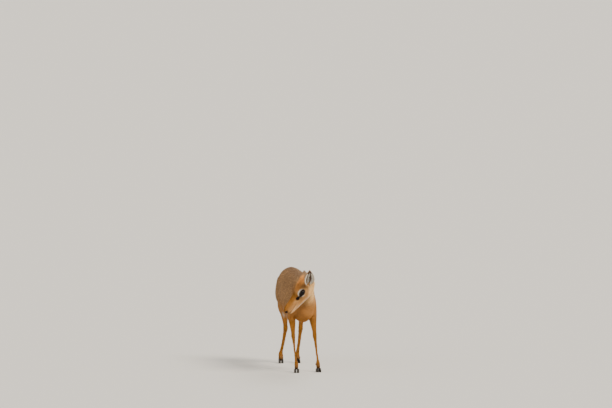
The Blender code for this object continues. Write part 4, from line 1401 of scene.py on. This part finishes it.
# Each stretch: its faces, the seed of its chances, whether its tufts bend,
# how wide a tuft is for its length, how many layers deep the tufts lie, and its slot
STRETCHES = (
    ("coat_neck", on_neck, 11, True, 0.062, 3.3, "neck_coat"),
    ("coat_shoulder_right", on_trunk & right & (middles[:, 1] < -0.0258), 12, True, 0.060, 3.3, "body_coat"),
    ("coat_shoulder_left", on_trunk & ~right & (middles[:, 1] < -0.0258), 13, True, 0.060, 3.3, "body_coat"),
    ("coat_side_right", on_trunk & right & barrel, 14, True, 0.055, 3.4, "body_coat"),
    ("coat_side_left", on_trunk & ~right & barrel, 15, True, 0.055, 3.4, "body_coat"),
    ("coat_haunch_right", on_trunk & right & (middles[:, 1] > 0.0742), 16, True, 0.060, 3.3, "body_coat"),
    ("coat_haunch_left", on_trunk & ~right & (middles[:, 1] > 0.0742), 17, True, 0.060, 3.3, "body_coat"),
    ("coat_shanks_fore", on_shank & (middles[:, 1] < 0), 18, False, 0.17, 3.4, "leg_coat"),
    ("coat_shanks_hind", on_shank & (middles[:, 1] >= 0), 19, False, 0.17, 3.4, "leg_coat"),
    ("coat_face_right", on_face & (aside < 0), 20, False, 0.14, 3.3, "face_coat"),
    ("coat_face_left", on_face & (aside >= 0), 21, False, 0.14, 3.3, "face_coat"),
    ("coat_ears", on_ear, 22, False, 0.15, 1.9, "ear_coat"),
    ("coat_tail", on_tail, 23, True, 0.055, 11.0, "body_coat"),
)
for name, chosen, *rest in STRETCHES:
    grow(name, np.flatnonzero(chosen), *rest)
skin.data.uv_layers.remove(skin.data.uv_layers["stretch"])


# Crest
# Longer, coarser rust hair stands on the crown in flat pointed locks, and bends back between the ears.
# Each lock is a sheaf of thin blades that share one bend, and draw together at its point.

CREST_ROWS = 9
CREST_FRONT = 0.050
CREST_STEP = 0.0044
CREST_LENGTH = 0.026
LOCK_BLADES = 30
# The crest's own rust, made lighter at the tips as painted sunlight
CREST_TIP_SUNLIT = (0.830, 0.375, 0.095)


def bent_blades(name, roots, middles_one, middles_two, tips, up, wides, tints, slot):
    # Blades of two rings, laid through four places each
    ways = unit(middles_two - roots)
    across = unit(np.cross(np.array(up), ways))
    rise = unit(np.cross(ways, across))
    points = [roots] + ring_of(middles_one, across, rise, wides, wides * 0.5)
    points += ring_of(middles_two, across, rise, wides * 0.7, wides * 0.35) + [tips]
    shades = [tints[0]] + [tints[1]] * 3 + [tints[2]] * 4
    tuft_mesh(name, np.stack(points, axis=1), np.stack(shades, axis=1), head_patches(roots))


def head_patches(roots):
    # A head's own map: round it for one way, along it for the other
    along, aside, above = head_places(roots)
    around = np.arctan2(aside, above + 0.004) / (2 * math.pi) + 0.5
    return np.stack([around, np.clip((along + 0.03) / 0.175, 0, 1)], axis=1)


def crest():
    rng = np.random.default_rng(31)
    roots, ones, twos, tips, wides = [], [], [], [], []
    for row in range(CREST_ROWS):
        along = CREST_FRONT - CREST_STEP * row
        count = 5 + min(row, CREST_ROWS - 1 - row, 3)
        for k in range(count):
            aside = (k - (count - 1) / 2) * 0.0037 + rng.uniform(-0.0008, 0.0008)
            reach = CREST_LENGTH * (0.62 + 0.075 * min(row, 5)) * rng.uniform(0.85, 1.12)
            lean = rng.uniform(-0.10, 0.10)
            lift = rng.uniform(0.16, 0.34)
            for blade in range(LOCK_BLADES):
                spread = rng.normal(0, 1, 2)
                start = on_head(along + spread[0] * 0.0013, aside + spread[1] * 0.0014, 0.06)
                root, normal, index, away = skin_tree.ray_cast(start, -crown_way)
                length = reach * rng.uniform(0.72, 1.08)
                line = []
                for share in (0.38, 0.72, 1.0):
                    up = math.sin(share * 1.9) * lift
                    back = share * (0.50 + 0.45 * share)
                    side = share * (lean + aside * 10) + spread[1] * 0.02 * share * (1 - share)
                    line.append(root - nose_way * (length * back) + crown_way * (length * up)
                                + left_way * (length * side) - (nose_way * spread[0] + left_way * spread[1])
                                * 0.0009 * share)
                roots.append(root - crown_way * 0.0008)
                ones.append(line[0])
                twos.append(line[1])
                tips.append(line[2])
                wides.append(0.00021 * rng.uniform(0.7, 1.3))
    roots, ones, twos, tips = (np.array(rows) for rows in (roots, ones, twos, tips))
    # The locks are rust, lighter toward their tips, which are brightened as painted sunlight
    shade = np.exp(rng.normal(0, 0.22, len(roots)))[:, None]
    tints = [np.array(tint) * shade * part
             for tint, part in ((CROWN_RUST, 0.85), (CREST_TIP_SUNLIT, 0.9), (CREST_TIP_SUNLIT, 1.0))]
    bent_blades("crest", roots, ones, twos, tips, crown_way, np.array(wides), tints, "face_coat")


crest()


# Ear hair
# Long soft white hair grows inside each ear from its front and back edges, and lies up along the cup.

EAR_HAIRS = 1300
EAR_WHITE = (0.86, 0.80, 0.70)
EAR_HAIR_WIDE = 0.00024


def ear_hair(word, side):
    rng = np.random.default_rng(41 + side)
    # Three streaks, at the two edges and up the middle of the cup, with the cup's inside between them,
    # darkened as painted shade
    share = rng.uniform(0.02, 0.74, EAR_HAIRS) ** 1.2
    streak = rng.choice((-0.88, 0.05, 0.86), EAR_HAIRS, p=(0.38, 0.26, 0.36))
    place = streak + rng.normal(0, 0.085, EAR_HAIRS)
    length = rng.uniform(0.007, 0.016, EAR_HAIRS) * (1 - 0.45 * share)
    lift = rng.uniform(0.6, 1.3, EAR_HAIRS)
    drift = rng.normal(0, 0.05, EAR_HAIRS)

    def cup(share, place, lift):
        share = np.clip(share, 0, 0.99)
        radius = ear_radius(share)
        reach = np.maximum(radius - 0.0006 - lift, 0.0005)
        return ear_spots(side, share, ear_roll(share) * place, radius, reach)

    grown = length / EAR_LENGTH
    roots = cup(share, place, -0.0004)
    ones = cup(share + grown * 0.35, place * 0.92 + drift * 0.3, 0.0012 * lift)
    twos = cup(share + grown * 0.70, place * 0.82 + drift * 0.7, 0.0022 * lift)
    tips = cup(share + grown, place * 0.68 + drift, 0.0028 * lift)
    shade = np.exp(rng.normal(0, 0.09, EAR_HAIRS))[:, None]
    tints = [np.array(EAR_WHITE) * shade * part for part in (0.85, 1.0, 1.0)]
    wides = EAR_HAIR_WIDE * rng.uniform(0.6, 1.4, EAR_HAIRS)
    bent_blades("ear_hair_" + word, roots, ones, twos, tips, ear_ways(side)[1], wides, tints, "ear_coat")


for word, side in SIDES:
    ear_hair(word, side)


# Lashes and whiskers
# Dark curved lashes stand along each upper lid, and a few stiff dark hairs grow from lips and chin.

LASHES = 46
LASH_LENGTH = 0.0075
LASH_OUT = 0.0012
LASH_WIDE = 0.00016
# A lash's four places: their share of its length, and how far it has come out and up by then
LASH_BEND = ((0.0, 0.0, 0.0), (0.4, 0.40, 0.10), (0.75, 0.66, 0.28), (1.0, 0.78, 0.52))
WHISKERS = 13
CHIN_WHISKERS = 5
WHISKER_WIDE = 0.00011
HAIR_BLACK = (0.020, 0.014, 0.011)


def lashes(word, side):
    rng = np.random.default_rng(51 + side)
    turn = np.radians(np.linspace(12, 172, LASHES) + rng.uniform(-2, 2, LASHES))
    x, z = lid_edge(turn)
    proud = ball_front(x, z) + LASH_OUT
    length = LASH_LENGTH * (0.65 + 0.5 * np.sin(turn)) * rng.uniform(0.8, 1.1, LASHES)
    rows = []
    for share, out, up in LASH_BEND:
        rows.append(many_on_head(EYE_AT[0] + x * (1 + 0.35 * share),
                                 side * (EYE_AT[1] + proud + length * out), EYE_AT[2] + z + length * up))
    tints = [np.tile(HAIR_BLACK, (LASHES, 1))] * 3
    bent_blades("lashes_" + word, *rows, crown_way, np.full(LASHES, LASH_WIDE), tints, "face_coat")


def whiskers(word, side):
    rng = np.random.default_rng(61 + side)
    along = np.concatenate([rng.uniform(0.106, 0.128, WHISKERS), rng.uniform(0.100, 0.120, CHIN_WHISKERS)])
    above = np.concatenate([rng.uniform(-0.010, -0.003, WHISKERS),
                            rng.uniform(-0.021, -0.018, CHIN_WHISKERS)])
    roots = np.array([surface_point(skin_tree, x, z, side) for x, z in zip(along, above)])
    length = rng.uniform(0.009, 0.016, len(along))
    out = unit(np.tile(np.array(left_way) * side, (len(along), 1))
               - np.outer(rng.uniform(0.1, 0.8, len(along)), crown_way)
               - np.outer(rng.uniform(-0.1, 0.5, len(along)), nose_way))
    rows = [roots - out * 0.0004]
    for share, drop in ((0.4, 0.02), (0.75, 0.10), (1.0, 0.20)):
        rows.append(roots + out * (length * share)[:, None] - np.outer(length * drop, crown_way))
    tints = [np.tile(HAIR_BLACK, (len(along), 1))] * 3
    bent_blades("whiskers_" + word, *rows, crown_way, np.full(len(along), WHISKER_WIDE), tints, "face_coat")


for word, side in SIDES:
    lashes(word, side)
    whiskers(word, side)
